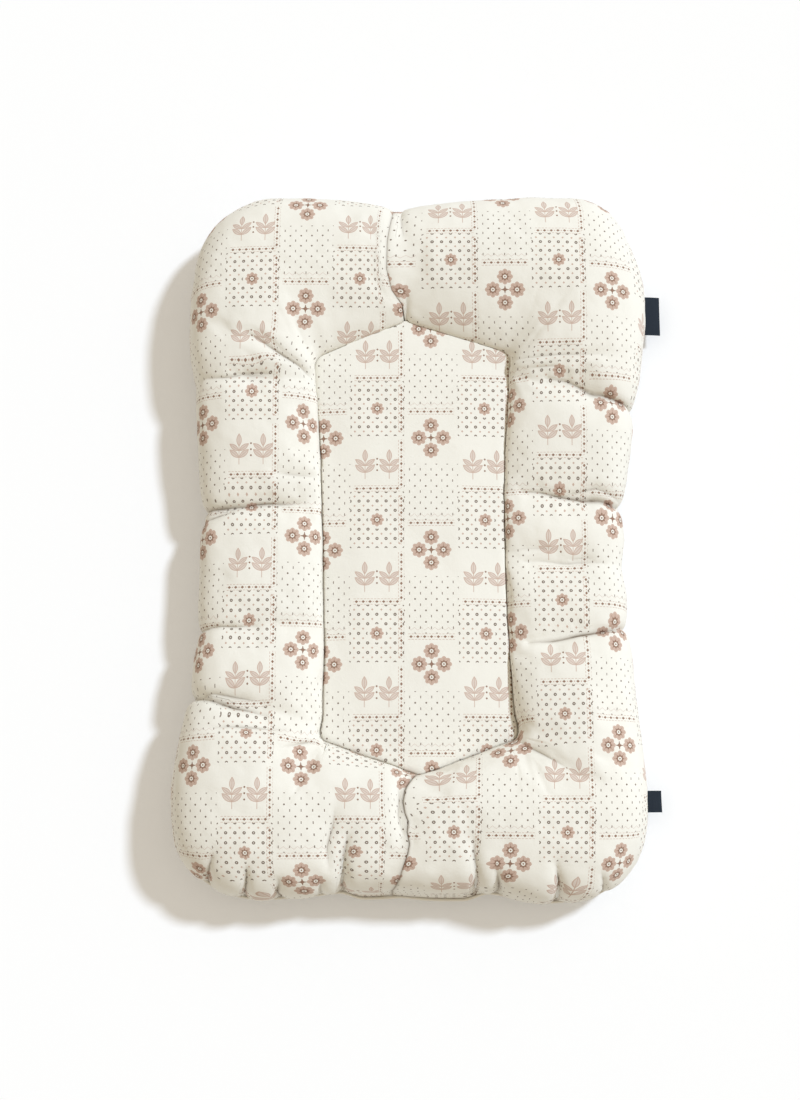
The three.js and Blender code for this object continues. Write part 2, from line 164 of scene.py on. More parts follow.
# Where lines across the bolster leave the outer edge and the nest, in shares of their lengths
# from the head seam, and how strongly a tuck draws the bolster in there
left_rib_shares = [
    (0, 0, 0.6), (0.096, 0.141, 0), (0.303, 0.19, 0), (0.345, 0.212, 0.8), (0.467, 0.426, 1),
    (0.579, 0.636, 0.6), (0.64, 0.805, 0.9), (0.678, 0.817, 0), (0.915, 0.844, 0), (1, 1, 0.6),
]
right_rib_shares = [
    (0, 0, 0.6), (0.117, 0.157, 0), (0.301, 0.2, 0), (0.389, 0.228, 0.9), (0.477, 0.426, 1),
    (0.531, 0.54, 0.8), (0.584, 0.679, 1), (0.701, 0.823, 0), (0.893, 0.855, 0), (1, 1, 0.6),
]

# Where the fold of each tuck between the seams shows, in shares of the way from the outer edge
# to the nest, and how sharp it is
left_folds = [(0.10, 0.72, 0.5), (-0.10, 0.85, 1), (-0.10, 0.50, 0.7), (-0.10, 0.62, 0.9)]
right_folds = [(-0.10, 0.75, 0.9), (-0.10, 0.92, 1), (0.20, 0.90, 0.45), (-0.10, 0.90, 0.9)]

rib_blend = 0.02  # the lines across the bolster are evened out this far along the edge, each way

# Tucks: a broad dip over the wadding and a sharp fold down its middle
tuck_dip = 0.006
dip_spread = 0.020
tuck_fold = 0.0078
fold_spread = 0.0038
tuck_notch = 0.005

# At the head seam the left half bulges over it, and the right half rises slowly from it
head_spreads = {"left": 0.010, "right": 0.032}

# Stuffing: how far it presses the cover out, and where seams and tucks hold it back
slack_depth = 0.0035
stuffed_reach = 0.24  # over the bolster
tuck_hold_width = 0.0035
crease_hold_depth = 0.008
rim_spare_reach = 0.022  # the cover has cloth to spare this near its seams and tucks
nest_spare_reach = 0.030
tuck_spare_reach = 0.016
most_pressed = 0.009
sewn_hold_width = 0.004
end_hold_width = 0.01
tuck_hold = 0.95  # how firmly tucks and creases hold the cover, where seams hold it wholly
crease_hold = 0.6
tuck_spare = 0.55  # how much cloth there is to spare at the tucks, against 1 at the seams
pressing_steps = 26  # of the simulation
drawn_in_share = 0.45  # nearer the outer edge than this, nothing is pressed inwards
drawn_in_blend_share = 0.15
sewn_hold = 0.7  # how much the marked seams and creases hold back what is pressed out
bared_hold_share = 0.2  # where the piping shows, the outer edge is held this far in
head_slack_share = 0.4  # of the way over the bolster, from the nest
swell_hold_share = 0.1  # swellings fade out over this share at the outer edge and the nest

# Soft uneven swellings of the covers and of the nest's panel: height and size
cover_swellings = [(0.0012, 0.035), (0.0005, 0.012)]
panel_swellings = [(0.0009, 0.05), (0.0004, 0.018)]

# Creases between the tucks: points in shares of the half width and half length, then depth and
# how quickly it fades to the sides
left_creases = [
    ([(-0.76, 0.447), (-0.60, 0.440)], 0.0035, 0.0045),
    ([(-0.70, 0.556), (-0.58, 0.513), (-0.44, 0.455)], 0.0060, 0.0060),
    ([(-0.56, 0.172), (-0.42, 0.168)], 0.0030, 0.0035),
    ([(-0.90, 0.045), (-0.83, 0.062), (-0.76, 0.075)], 0.0050, 0.0050),
    ([(-0.84, -0.538), (-0.53, -0.538)], 0.0035, 0.0050),
    ([(-0.52, -0.590), (-0.38, -0.571)], 0.0045, 0.0045),
    ([(-0.95, -0.452), (-0.84, -0.444), (-0.63, -0.471)], 0.0050, 0.0045),
]
right_creases = [
    ([(0.43, 0.497), (0.80, 0.502)], 0.0025, 0.0070),
    ([(0.50, 0.466), (0.63, 0.464)], 0.0030, 0.0050),
    ([(0.67, 0.117), (0.77, 0.131), (0.88, 0.107)], 0.0040, 0.0045),
    ([(0.42, -0.040), (0.62, -0.042)], 0.0025, 0.0045),
    ([(0.66, -0.066), (0.75, -0.068)], 0.0025, 0.0035),
    ([(0.42, -0.570), (0.60, -0.645)], 0.0050, 0.0055),
]
foot_creases = [
    ([(-0.270, -0.840), (-0.285, -0.905), (-0.297, -1.020)], 0.0120, 0.0052),
    ([(-0.325, -0.770), (-0.347, -0.862), (-0.339, -0.920)], 0.0045, 0.0050),
    ([(-0.820, -0.890), (-0.905, -1.010)], 0.0080, 0.0050),
    ([(-0.680, -0.925), (-0.712, -1.040)], 0.0100, 0.0050),
    ([(-0.545, -0.955), (-0.560, -1.040)], 0.0085, 0.0048),
    ([(-0.376, -0.955), (-0.384, -1.030)], 0.0065, 0.0045),
    ([(0.243, -0.850), (0.253, -0.942), (0.258, -1.030)], 0.0090, 0.0045),
    ([(0.338, -0.930), (0.352, -1.040)], 0.0100, 0.0045),
    ([(0.582, -0.915), (0.592, -1.040)], 0.0105, 0.0046),
    ([(0.760, -0.930), (0.800, -1.030)], 0.0060, 0.0045),
]
middle_creases = [
    ([(-0.054, 0.960), (-0.052, 0.911), (-0.048, 0.850)], 0.0040, 0.0035),
    ([(-0.027, 0.710), (-0.028, 0.640), (-0.030, 0.570)], 0.0030, 0.0040),
    ([(-0.058, -0.700), (-0.060, -0.770), (-0.050, -0.820)], 0.0040, 0.0040),
]

# Each printed piece is cut from another place of the cloth
cut_from = {"left": (0, 0), "right": (0.017, -0.021), "nest": (-0.019, 0.013)}

# The crevice beside the nest, and the painted shade along seams, creases and that crevice
crevice_start = 0.15  # nearer the head than this, the panel closes up against the covers
crevice_blend = 0.05
cover_reach = 0.234  # over the bolster from seam to seam, on the average
crevice_place = 0.0045  # the cover meets the panel this far past where it leans over most
crease_sway = 0.0022  # how far a crease strays from its line
crease_sway_size = 0.03
crease_fade_size = 0.045  # how long its stronger and weaker stretches are
crease_taper_share = 0.06  # a crease's ends are cut off this far up its taper
crease_end_depth = 0.35  # of its depth in the middle
gather_reach = 2.4  # it gathers the cloth this many times as far as it draws it in
gather_limit = 1.2
rim_smooth_share = 0.03  # creases fade out over this share at the outer edge
nest_smooth_share = 0.05
painted_shade_reach = 0.007  # painted shade reaches up to this far from a crease's line
painted_shade_spread = 0.004 / 3  # the painted dark line down its middle fades to a third over this width
seam_shade_lead = 0.001  # a seam's painted shade shows over a crease's that lies this much nearer
head_seam_painted_shade = 0.35  # how dark the painted shade along each seam and the crevice beside the nest is; the same strength holds the stuffing back there
foot_seam_painted_shade = 0.65
rim_painted_shade = 0.8
head_crevice_painted_shade = 0.1
side_crevice_painted_shade = 1.0

# The two seams between the halves wander: how far to the side, against the share of the way
# from the outer edge over to the nest
head_wander = [(0, 0), (0.2, -0.002), (0.35, -0.007), (0.5, -0.014), (0.65, -0.017), (0.76, -0.013),
               (0.84, -0.002), (1, 0)]
foot_wander = [(0, -0.010), (0.15, -0.0105), (0.3, -0.0045), (0.36, -0.003), (0.44, 0), (0.49, 0),
               (0.55, -0.0045), (0.6, -0.005), (0.65, -0.0105), (0.71, -0.0145), (0.78, -0.014),
               (0.86, -0.008), (0.95, -0.002), (1, 0)]
wander_spread = 0.024
flare_share = 0.73  # the corners' full width and height start this far from the middle

# Fineness of the meshes
row_step = 0.0027
fold_row_step = 0.0011
column_count = 90
wall_columns_from = column_count * 2 // 3  # the columns from here on make the wall beside the nest
fold_row_reach = 0.012
cloth_row_step = 0.0060
cloth_column_count = 40
edge_step = 0.0030
nest_loop_step = 0.0024
panel_step = 0.0042
pad_step = 0.0090
base_step = 0.0080
wad_row_step = 5  # a wad follows about every fifth row and every fourth column of its cover
fewest_wad_rows = 8
wad_column_step = 4
wad_floor_points = 9
piping_sides = 12
sharp_edge_angle = math.radians(60)
same_point_distance = 1e-7  # points nearer than this count as one
least_divisor = 1e-9  # keeps a division from failing where a length is zero

# Threads, ribs and crumples of the cloth and tufts of the filling, and how deep they are
printed_thread_pitch = 0.0007
plain_thread_pitch = 0.0008
piping_thread_pitch = 0.0006
ribbon_thread_pitch = 0.0004
ribbon_rib_pitch = 0.0009
cotton_crumple_size = 0.016
ribbon_crumple_size = 0.008
slubs_per_metre = 900.0
clouds_per_metre = 9.0
tufts_per_metre = 260.0
weave_relief = 0.00012
crumple_relief = 0.0016
crease_relief = 0.0012
tuft_relief = 0.0015


def smooth(share):
    held = np.clip(share, 0, 1)
    return held * held * (3 - 2 * held)


def between_waist_and_ends(along_share, at_waist, at_ends):
    return at_waist + (at_ends - at_waist) * smooth(np.abs(along_share) / flare_share)


def spline_through(points, steps=60):
    """Points on a smooth curve through the given ones."""
    stations = [2 * points[0] - points[1], *points, 2 * points[-1] - points[-2]]
    share = np.linspace(0, 1, steps, endpoint=False)[:, None]
    stretches = []
    for before, start, end, after in zip(stations, stations[1:], stations[2:], stations[3:]):
        first, span, last = [np.linalg.norm(b - a) ** 0.5
                             for a, b in ((before, start), (start, end), (end, after))]
        leave = (start - before) / first - (end - before) / (first + span) + (end - start) / span
        arrive = (end - start) / span - (after - start) / (span + last) + (after - end) / last
        leave *= span
        arrive *= span
        curve = (2 * start - 2 * end + leave + arrive) * share**3
        curve += (3 * end - 3 * start - 2 * leave - arrive) * share**2
        stretches.append(curve + leave * share + start)
    return np.vstack([*stretches, points[-1:]])


def rounded_path(points, cuts, steps=40):
    """Straight lines between the points, with each corner rounded from its cut on."""
    share = np.linspace(0, 1, steps)[:, None]
    stretches = [points[:1]]
    for before, corner, after, cut in zip(points, points[1:], points[2:], cuts):
        start = corner + (before - corner) * cut / np.linalg.norm(before - corner)
        end = corner + (after - corner) * cut / np.linalg.norm(after - corner)
        stretches.append(start * (1 - share) ** 2 + corner * 2 * share * (1 - share) + end * share**2)
    return np.vstack([*stretches, points[-1:]])


class Line:
    """A curve in plan, read by the length along it."""

    def __init__(self, points):
        self.points = points
        steps = np.linalg.norm(np.diff(points, axis=0), axis=1)
        self.stations = np.concatenate([[0], np.cumsum(steps)])
        self.length = self.stations[-1]

    def at(self, distance):
        return np.stack([np.interp(distance, self.stations, self.points[:, axis]) for axis in (0, 1)], -1)


class Side:
    """The left or the right half of the ring, from the head seam round to the foot seam."""

    def __init__(self, name, outline_shares, nest_shares, rib_shares, folds, creases, hand):
        self.name = name
        self.hand = hand
        across, along = np.array(outline_shares).T
        half_width = between_waist_and_ends(along, waist_half, corner_half)
        self.outline = Line(spline_through(np.stack([across * half_width, along * end_half], -1)))
        across, along = np.array(nest_shares).T
        halves = np.full(len(across), nest_corner_half)
        halves[len(across) // 2] = nest_waist_half
        corners = np.stack([across * halves, along * nest_half - nest_shift], -1)
        self.nest = Line(rounded_path(corners, [nest_corner_cut, nest_waist_cut, nest_corner_cut]))
        ribs = np.array(rib_shares)
        self.tucks = ribs[ribs[:, 2] > 0]
        self.tuck_places = self.tucks[:, 0] * self.outline.length
        self.draws = self.tucks[:, 2]
        self.ribs = ribs
        drawn = creases + foot_creases + middle_creases
        self.creases = [(scaled(points), depth, spread) for points, depth, spread in drawn]
        for (outer, inner, _), (first, last, sharpness) in zip(self.tucks[1:-1], folds):
            start = self.outline.at(outer * self.outline.length)
            end = self.nest.at(inner * self.nest.length)
            line = np.array([start + (end - start) * share for share in (first, last)])
            self.creases.append((line, tuck_fold * sharpness, fold_spread))

    def inner_distance(self, distance):
        """How far along the nest a line over the bolster ends that starts there along the rim."""
        window = rib_blend * np.linspace(-1, 1, 21)
        shares = (np.asarray(distance)[..., None] + window) / self.outline.length
        turned = np.where(shares < 0, -shares, np.where(shares > 1, 2 - shares, shares))
        inner = np.interp(turned, self.ribs[:, 0], self.ribs[:, 1])
        inner = np.where(shares < 0, -inner, np.where(shares > 1, 2 - inner, inner))
        return inner.mean(-1) * self.nest.length

    def draw(self, distance):
        """How strongly the nearest tuck draws the bolster in."""
        reach = np.abs(np.asarray(distance)[:, None] - self.tuck_places)
        spreads = np.full(len(self.draws), dip_spread)
        spreads[0] = head_spreads[self.name]
        return (self.draws * np.exp(-((reach / spreads) ** 1.4))).max(1)


def scaled(points):
    return np.array(points) * (corner_half, end_half)


def bared(plan):
    """1 where the bolster draws back from the piping, near the middle of the foot end, and 0
    away from there."""
    at_foot = smooth((-plan[..., 1] / end_half - foot_share) / foot_blend_share)
    beside = smooth((np.abs(plan[..., 0]) / corner_half - bared_share) / bared_blend_share)
    return at_foot * (1 - beside)


def seam_inset(plan):
    """How far inside the outer edge the seam lies."""
    return rim_seam_inset + (foot_seam_inset - rim_seam_inset) * bared(plan)


def at_nest_head(plan):
    """1 beside the nest's slanting ends at the head, and 0 along its sides."""
    return smooth((plan[..., 1] - nest_ends_from) / nest_ends_blend)


def lean_over_nest(plan):
    """How far the inner wall leans over the nest at each place along it, at what height, and how
    full the slope above that is."""
    at_head = at_nest_head(plan)
    at_foot = smooth((-plan[..., 1] - nest_ends_from) / nest_ends_blend)
    lean = side_overhang + (head_overhang - side_overhang) * at_head
    lean += (foot_overhang - side_overhang) * at_foot
    lean_height = overhang_height + (head_overhang_height - overhang_height) * at_head
    return lean, lean_height, fullness + (head_fullness - fullness) * at_head


def arch(width, crest, inset, lean, lean_height, inner_fullness, samples=50):
    """Reaches from the nest and heights over one line across the bolster, from the outer seam."""
    middle = width / 2
    arcs = [
        (width - inset, belly_height, inset, belly_height - rim_seam_height, 2),
        (middle, belly_height, middle, crest - belly_height, fullness),
        (middle, lean_height, middle + lean, crest - lean_height, inner_fullness),
        (0, lean_height, lean, lean_height - nest_seam_height, 2),
    ]
    reaches, heights = [], []
    for arc, (centre_reach, centre_height, across, up, full) in enumerate(arcs):
        turn = (np.linspace(0, 1, samples) + arc - 1) * math.pi / 2
        out, rise = [np.sign(part) * np.abs(part) ** (2 / full) for part in (np.cos(turn), np.sin(turn))]
        reaches.append(centre_reach + across * out)
        heights.append(centre_height + up * rise)
    return np.concatenate(reaches), np.concatenate(heights)


def cover_points(side, rows, columns):
    """The cover over one half of the ring, and where each point lies on the flat cloth. Rows are
    distances along the outer edge, and columns shares of the way over the bolster."""
    inner = side.nest.at(side.inner_distance(rows))
    outward = side.outline.at(rows) - inner
    widths = np.linalg.norm(outward, axis=1)
    outward /= widths[:, None]
    draws = side.draw(rows)
    edge = side.outline.at(rows)
    crests = between_waist_and_ends(edge[:, 1] / end_half, waist_height, bolster_height)
    points = np.zeros((len(rows), len(columns), 3))
    cloth = np.zeros((len(rows), len(columns), 2))
    shapes = zip(widths, crests, draws, seam_inset(edge), *lean_over_nest(inner))
    for row, (width, crest, draw, inset, *inner_wall) in enumerate(shapes):
        reach, height = arch(width - tuck_notch * draw, crest - tuck_dip * draw, inset, *inner_wall)
        steps = np.hypot(np.diff(reach), np.diff(height))
        stations = np.concatenate([[0], np.cumsum(steps)])
        places = columns * stations[-1]
        top = np.argmax(height)
        out = np.interp(places, stations, reach)
        points[row, :, :2] = inner[row] + outward[row] * out[:, None]
        points[row, :, 2] = np.interp(places, stations, height)
        flat = reach[top] + stations[top] - places
        cloth[row] = inner[row] + outward[row] * flat[:, None]
    return points, cloth


def surface_normals(points, hand):
    along = np.gradient(points, axis=0)
    over = np.gradient(points, axis=1)
    normals = np.cross(along, over) * hand
    return normals / np.maximum(np.linalg.norm(normals, axis=-1, keepdims=True), least_divisor)


def way_to_line(points, line):
    """Distance in plan of each point from a line, below zero on its right, and the share of the
    way along it."""
    lengths = np.linalg.norm(np.diff(line, axis=0), axis=1)
    ends = np.concatenate([[0], np.cumsum(lengths)]) / lengths.sum()
    best = np.full(points.shape[:-1], np.inf)
    share = np.zeros(points.shape[:-1])
    for start, end, first, last in zip(line, line[1:], ends, ends[1:]):
        leg = end - start
        along = np.clip((points - start) @ leg / (leg @ leg), 0, 1)
        away = points - start - along[..., None] * leg
        gap = np.linalg.norm(away, axis=-1)
        turn = np.where(leg[0] * away[..., 1] < leg[1] * away[..., 0], -1, 1)
        nearer = gap < np.abs(best)
        best = np.where(nearer, gap * turn, best)
        share = np.where(nearer, first + (last - first) * along, share)
    return best, share


def creased(side, points):
    """How far the tucks and creases draw each point of the cover in, for the painted crease shade
    the distance from the nearest crease and how dark its painted shade is, and how far the cloth is
    gathered towards the creases."""
    sways = [lumps(points, crease_sway_size, seed) for seed in (1.7, 4.1)]
    plan = points[..., :2] + crease_sway * np.stack(sways, -1)
    uneven = 0.75 + 0.5 * lumps(points, crease_fade_size, 6.3)
    depth = np.zeros(points.shape[:-1])
    marks = np.zeros((*points.shape[:-1], 2))
    marks[..., 0] = painted_shade_reach
    gathered = np.zeros((*points.shape[:-1], 2))
    nearest = np.full(points.shape[:-1], painted_shade_reach)
    for line, deepest, spread in side.creases:
        gap, share = way_to_line(plan, line)
        along_taper = share * (1 - 2 * crease_taper_share) + crease_taper_share
        taper = np.sin(np.pi * np.clip(along_taper, 0, 1))
        ahead = (line[-1] - line[0]) / np.linalg.norm(line[-1] - line[0])
        pull = gap * np.exp(-((gap / (gather_reach * spread)) ** 2)) * taper
        pull *= min(deepest / tuck_fold, gather_limit)
        gathered += pull[..., None] * (-ahead[1], ahead[0])
        tapered = crease_end_depth + (1 - crease_end_depth) * taper
        depth += deepest * tapered * np.exp(-np.abs(gap) / spread)
        nearer = np.abs(gap) < nearest
        nearest = np.where(nearer, np.abs(gap), nearest)
        # How dark the painted shade along this crease is, fading with its taper and unevenly along it
        shows = np.minimum(deepest / tuck_fold, 1) * taper * uneven * (1 - np.abs(gap) / painted_shade_reach)
        marks = np.where(nearer[..., None], np.stack([gap, np.clip(shows, 0, 1)], -1), marks)
    return depth, marks, gathered


def seam_wander(side, rows, columns):
    """How far the cover lies to the side of its place near the head and foot seams."""
    ends = []
    for wander, gap in ((head_wander, rows), (foot_wander, side.outline.length - rows)):
        shares, moves = np.array(wander).T
        ends.append(np.exp(-((gap / wander_spread) ** 2))[:, None] * np.interp(columns, shares, moves))
    return ends[0] + ends[1]


def sewn_lines(side, points, rows, columns):
    """Distances from the two seams between the halves, from the seam round the outer edge and
    from the crevice along the nest, and how dark the painted shade along each of them is."""
    from_seam = np.minimum(rows, side.outline.length - rows)[:, None] * np.ones(len(columns))
    from_rim = (columns * cover_reach)[None, :] * np.ones((len(rows), 1))
    lean = lean_over_nest(side.nest.at(side.inner_distance(rows)))[0]
    from_crevice = np.abs((1 - columns) * cover_reach - lean[:, None] - crevice_place)
    beside_nest = smooth((crevice_start - points[..., 1]) / crevice_blend)
    painted_crevice_darkness = head_crevice_painted_shade + (side_crevice_painted_shade - head_crevice_painted_shade) * beside_nest
    painted_seam_darkness = np.where(rows < side.outline.length / 2, head_seam_painted_shade, foot_seam_painted_shade)[:, None]
    return (from_seam, painted_seam_darkness), (from_rim, rim_painted_shade), (from_crevice, painted_crevice_darkness)


def folded_cover(side, rows, columns):
    """The cover with its seams, tucks and creases, before the stuffing presses it out."""
    points, cloth = cover_points(side, rows, columns)
    points[..., 0] += seam_wander(side, rows, columns)
    held = np.clip(np.minimum(columns / rim_smooth_share, (1 - columns) / nest_smooth_share), 0, 1)
    depth, marks, gathered = creased(side, points)
    depth *= held
    # The seams, the outer seam and the crevice beside the nest take over the painted shade where they lie
    # nearer than a crease
    for gap, strength in sewn_lines(side, points, rows, columns):
        nearer = gap < np.abs(marks[..., 0]) + seam_shade_lead
        marks = np.where(nearer[..., None], np.stack([gap, strength + 0 * gap], -1), marks)
    cloth = cloth + gathered + cut_from[side.name]
    return points - surface_normals(points, side.hand) * depth[..., None], cloth, depth, marks


def fine_rows(side):
    """Places along the outer edge, closer together at the tucks."""
    places = [0.0]
    while places[-1] < side.outline.length:
        gap = np.abs(side.tuck_places - places[-1]).min()
        step = fold_row_step + (row_step - fold_row_step) * smooth(gap / fold_row_reach)
        places.append(places[-1] + step)
    return np.array(places) * side.outline.length / places[-1]


def grid_faces(rows, columns, hand, first=0):
    """Corners of the squares of a grid, turned to face out."""
    corner = first + np.arange(rows * columns).reshape(rows, columns)
    square = [corner[:-1, :-1], corner[1:, :-1], corner[1:, 1:], corner[:-1, 1:]]
    return np.stack(square[::hand], -1).reshape(-1, 4)


def add_mesh(name, vertices, faces, layers=()):
    """A smooth mesh of its own, with two numbers for each vertex in each named UV layer."""
    mesh = bpy.data.meshes.new(name)
    corners = [[int(corner) for corner in face] for face in faces]
    mesh.from_pydata(np.asarray(vertices).reshape(-1, 3).tolist(), [], corners)
    mesh.polygons.foreach_set("use_smooth", np.ones(len(mesh.polygons), bool))
    at_corners = np.zeros(len(mesh.loops), int)
    mesh.loops.foreach_get("vertex_index", at_corners)
    for title, values in dict(layers).items():
        layer = mesh.uv_layers.new(name=title)
        pairs = np.asarray(values).reshape(-1, 2)[at_corners]
        layer.data.foreach_set("uv", pairs.astype(np.float32).ravel())
    mesh.update()
    mesh.set_sharp_from_angle(angle=sharp_edge_angle)
    piece = bpy.data.objects.new(name, mesh)
    bpy.context.scene.collection.objects.link(piece)
    return piece


def pressed_out(side, rows, columns):
    """How far stuffing presses the folded cover out between its seams and folds, by a cloth
    simulation with the seams held."""
    points, _, depth, _ = folded_cover(side, rows, columns)
    plain, _ = cover_points(side, rows, columns)
    normals = surface_normals(plain, side.hand)
    start = points - normals * (slack_depth * np.sin(np.pi * columns) ** 0.5)[:, None]
    piece = add_mesh("pressed", start, grid_faces(len(rows), len(columns), side.hand))
    rim = columns * stuffed_reach
    nest = (1 - columns) * stuffed_reach
    gap = np.abs(rows[:, None] - side.tuck_places).min(1)
    hold = np.exp(-((gap / tuck_hold_width) ** 2))[:, None] * np.ones(len(columns))
    hold = np.maximum(hold * tuck_hold, np.clip(depth / crease_hold_depth, 0, 1) * crease_hold)
    hold[:, [0, -1]] = 1
    hold[[0, -1], :] = 1
    spare = np.maximum(np.exp(-rim / rim_spare_reach), np.exp(-nest / nest_spare_reach))
    spare = np.maximum(spare[None, :], tuck_spare * np.exp(-gap / tuck_spare_reach)[:, None])
    for name, weights in (("held", hold), ("spare", spare)):
        group = piece.vertex_groups.new(name=name)
        for index, weight in enumerate(weights.ravel()):
            group.add([index], float(weight), "REPLACE")
    cloth = piece.modifiers.new("stuffing", "CLOTH")
    settings = cloth.settings
    settings.quality = 6
    settings.mass = 0.25
    settings.tension_stiffness = 12
    settings.compression_stiffness = 12
    settings.shear_stiffness = 4
    settings.bending_stiffness = 0.35
    settings.vertex_group_mass = "held"
    settings.pin_stiffness = 6
    settings.use_pressure = True
    settings.uniform_pressure_force = 2.2
    settings.shrink_min = -0.012
    settings.shrink_max = -0.075
    settings.vertex_group_shrink = "spare"
    settings.effector_weights.gravity = 0
    cloth.collision_settings.use_collision = False
    cloth.point_cache.frame_end = pressing_steps + 4
    for step in range(1, pressing_steps + 1):
        bpy.context.scene.frame_set(step)
    shown = piece.evaluated_get(bpy.context.evaluated_depsgraph_get())
    pressed = np.zeros(points.size)
    shown.data.vertices.foreach_get("co", pressed)
    bpy.data.objects.remove(piece)
    bpy.context.scene.frame_set(1)
    moved = pressed.reshape(points.shape) - points
    near_rim = np.clip((drawn_in_share - columns) / drawn_in_blend_share, 0, 1)
    drawn_in = np.minimum((moved * normals).sum(-1), 0) * near_rim
    moved -= normals * drawn_in[..., None]
    way = np.linalg.norm(moved, axis=-1, keepdims=True)
    return moved * np.where(way > most_pressed, most_pressed / np.maximum(way, least_divisor), 1)


def spread_over(values, rows, columns, fine, fine_columns):
    """Values on a coarse grid, read on a finer one and smoothed over its squares."""
    over = np.stack([np.stack([np.interp(fine_columns, columns, line[:, axis]) for axis in range(3)], -1)
                     for line in values])
    out = np.zeros((len(fine), len(fine_columns), 3))
    for column in range(len(fine_columns)):
        for axis in range(3):
            out[:, column, axis] = np.interp(fine, rows, over[:, column, axis])
    for _ in range(2):
        out[1:-1] = (out[:-2] + 2 * out[1:-1] + out[2:]) / 4
        out[:, 1:-1] = (out[:, :-2] + 2 * out[:, 1:-1] + out[:, 2:]) / 4
    return out


def lumps(points, size, seed):
    """Soft uneven swellings, from -1 to 1, of about that size."""
    flat = np.asarray(points).reshape(-1, 3)
    offset = Vector((seed, seed * 2.3, -seed))
    values = [noise.noise(Vector(point) / size + offset) for point in flat]
    return np.array(values).reshape(np.asarray(points).shape[:-1])


def swollen(points, swellings, seeds):
    return sum(height * lumps(points, size, seed) for (height, size), seed in zip(swellings, seeds))


def cover_surface(side):
    """The finished outer face of one half's cover, row by row."""
    rows = fine_rows(side)
    columns = np.linspace(0, 1, column_count)
    points, cloth, depth, marks = folded_cover(side, rows, columns)
    coarse_rows = np.linspace(0, side.outline.length, round(side.outline.length / cloth_row_step))
    coarse_columns = np.linspace(0, 1, cloth_column_count)
    moved = pressed_out(side, coarse_rows, coarse_columns)
    sewn = 1 - sewn_hold * marks[..., 1:] * np.exp(-((marks[..., :1] / sewn_hold_width) ** 2))
    near_rim = np.exp(-((columns / bared_hold_share) ** 2))
    sewn *= (1 - bared(side.outline.at(rows))[:, None] * near_rim)[..., None]
    near_nest = np.exp(-(((1 - columns) / head_slack_share) ** 2))
    slack = head_slack * at_nest_head(side.nest.at(side.inner_distance(rows)))[:, None]
    sewn *= (1 - slack * near_nest)[..., None]
    sewn *= (1 - head_seam_slack * np.exp(-((rows / head_seam_slack_width) ** 2)))[:, None, None]
    points = points + spread_over(moved, coarse_rows, coarse_columns, rows, columns) * sewn
    held = np.clip(np.minimum(columns, 1 - columns) / swell_hold_share, 0, 1)
    ends = np.clip(np.minimum(rows, rows[-1] - rows) / end_hold_width, 0, 1)[:, None]
    swell = swollen(points, cover_swellings, (3.1 * side.hand, 7.7))
    surface = points + surface_normals(points, side.hand) * (swell * held * ends)[..., None]
    return rows, surface, cloth, depth, marks


def shell(name, outer, inner, cloth, marks, hand):
    """A closed thin piece between an outer and an inner face of the same rows and columns."""
    rows, columns = outer.shape[:2]
    count = rows * columns
    faces = [grid_faces(rows, columns, hand), grid_faces(rows, columns, -hand, count)]
    corner = np.arange(count).reshape(rows, columns)
    edge = np.concatenate([corner[:, 0], corner[-1, 1:], corner[-2::-1, -1], corner[0, -2:0:-1]])
    following = np.roll(edge, -1)
    rim = np.stack([edge, edge + count, following + count, following][::hand], -1)
    # The creases layer carries, on the outer face, the distance from the nearest crease, seam or crevice
    # and how dark its painted shade is
    layers = {"flat_cloth": np.concatenate([cloth, cloth]), "creases": np.concatenate([marks, marks * 0])}
    return add_mesh(name, np.concatenate([outer, inner]), np.vstack([*faces, rim]), layers)


def loft(name, outlines, layers=()):
    """A closed piece through closed outlines of the same number of points."""
    rows, count = outlines.shape[:2]
    corner = np.arange(rows * count).reshape(rows, count)
    following = np.roll(corner, -1, axis=1)
    squares = np.stack([corner[:-1], corner[1:], following[1:], following[:-1]], -1).reshape(-1, 4)
    faces = squares.tolist() + [corner[0].tolist(), corner[-1][::-1].tolist()]
    return faced_out(add_mesh(name, outlines, faces, layers))


def faced_out(piece):
    """The piece with its faces turned outwards."""
    volume = 0
    for polygon in piece.data.polygons:
        volume += polygon.center.dot(polygon.normal) * polygon.area
    if volume < 0:
        piece.data.flip_normals()
    return piece


def filled_outline(outline, spacing, loops=()):
    """Triangles over the inside of an outline in plan, with loops of points that lie a given
    distance inside it."""
    low, high = outline.min(0), outline.max(0)
    across = np.arange(low[0], high[0], spacing)
    along = np.arange(low[1], high[1], spacing * 0.866)
    inside = []
    closed = np.vstack([outline, outline[:1]])
    for index, y in enumerate(along):
        starts, ends = closed[:-1], closed[1:]
        crossing = (starts[:, 1] > y) != (ends[:, 1] > y)
        share = (y - starts[crossing, 1]) / (ends[crossing, 1] - starts[crossing, 1])
        cuts = np.sort(starts[crossing, 0] + share * (ends[crossing, 0] - starts[crossing, 0]))
        xs = across + (index % 2) * spacing / 2
        for left_cut, right_cut in zip(cuts[::2], cuts[1::2]):
            chosen = xs[(xs > left_cut + spacing * 0.6) & (xs < right_cut - spacing * 0.6)]
            inside += [(x, y) for x in chosen]
    inside = np.array(inside)
    clear = spacing * 0.55 + max((inset for inset, _ in loops), default=0)
    points = [outline, inside[np.abs(way_to_line(inside, closed)[0]) > clear]]
    for inset, loop in loops:
        points.append(loop[np.abs(way_to_line(loop, closed)[0]) > inset * 0.95])
    corners = [Vector(point) for point in np.vstack(points)]
    filled = delaunay_2d_cdt(corners, [], [list(range(len(outline)))], 1, same_point_distance)
    return np.array([tuple(point) for point in filled[0]]), np.array(filled[2])


def edge_loop(faces):
    """Directed edges that only one triangle has."""
    pairs = np.vstack([faces[:, [0, 1]], faces[:, [1, 2]], faces[:, [2, 0]]])
    there = {tuple(pair) for pair in pairs.tolist()}
    return [(a, b) for a, b in there if (b, a) not in there]


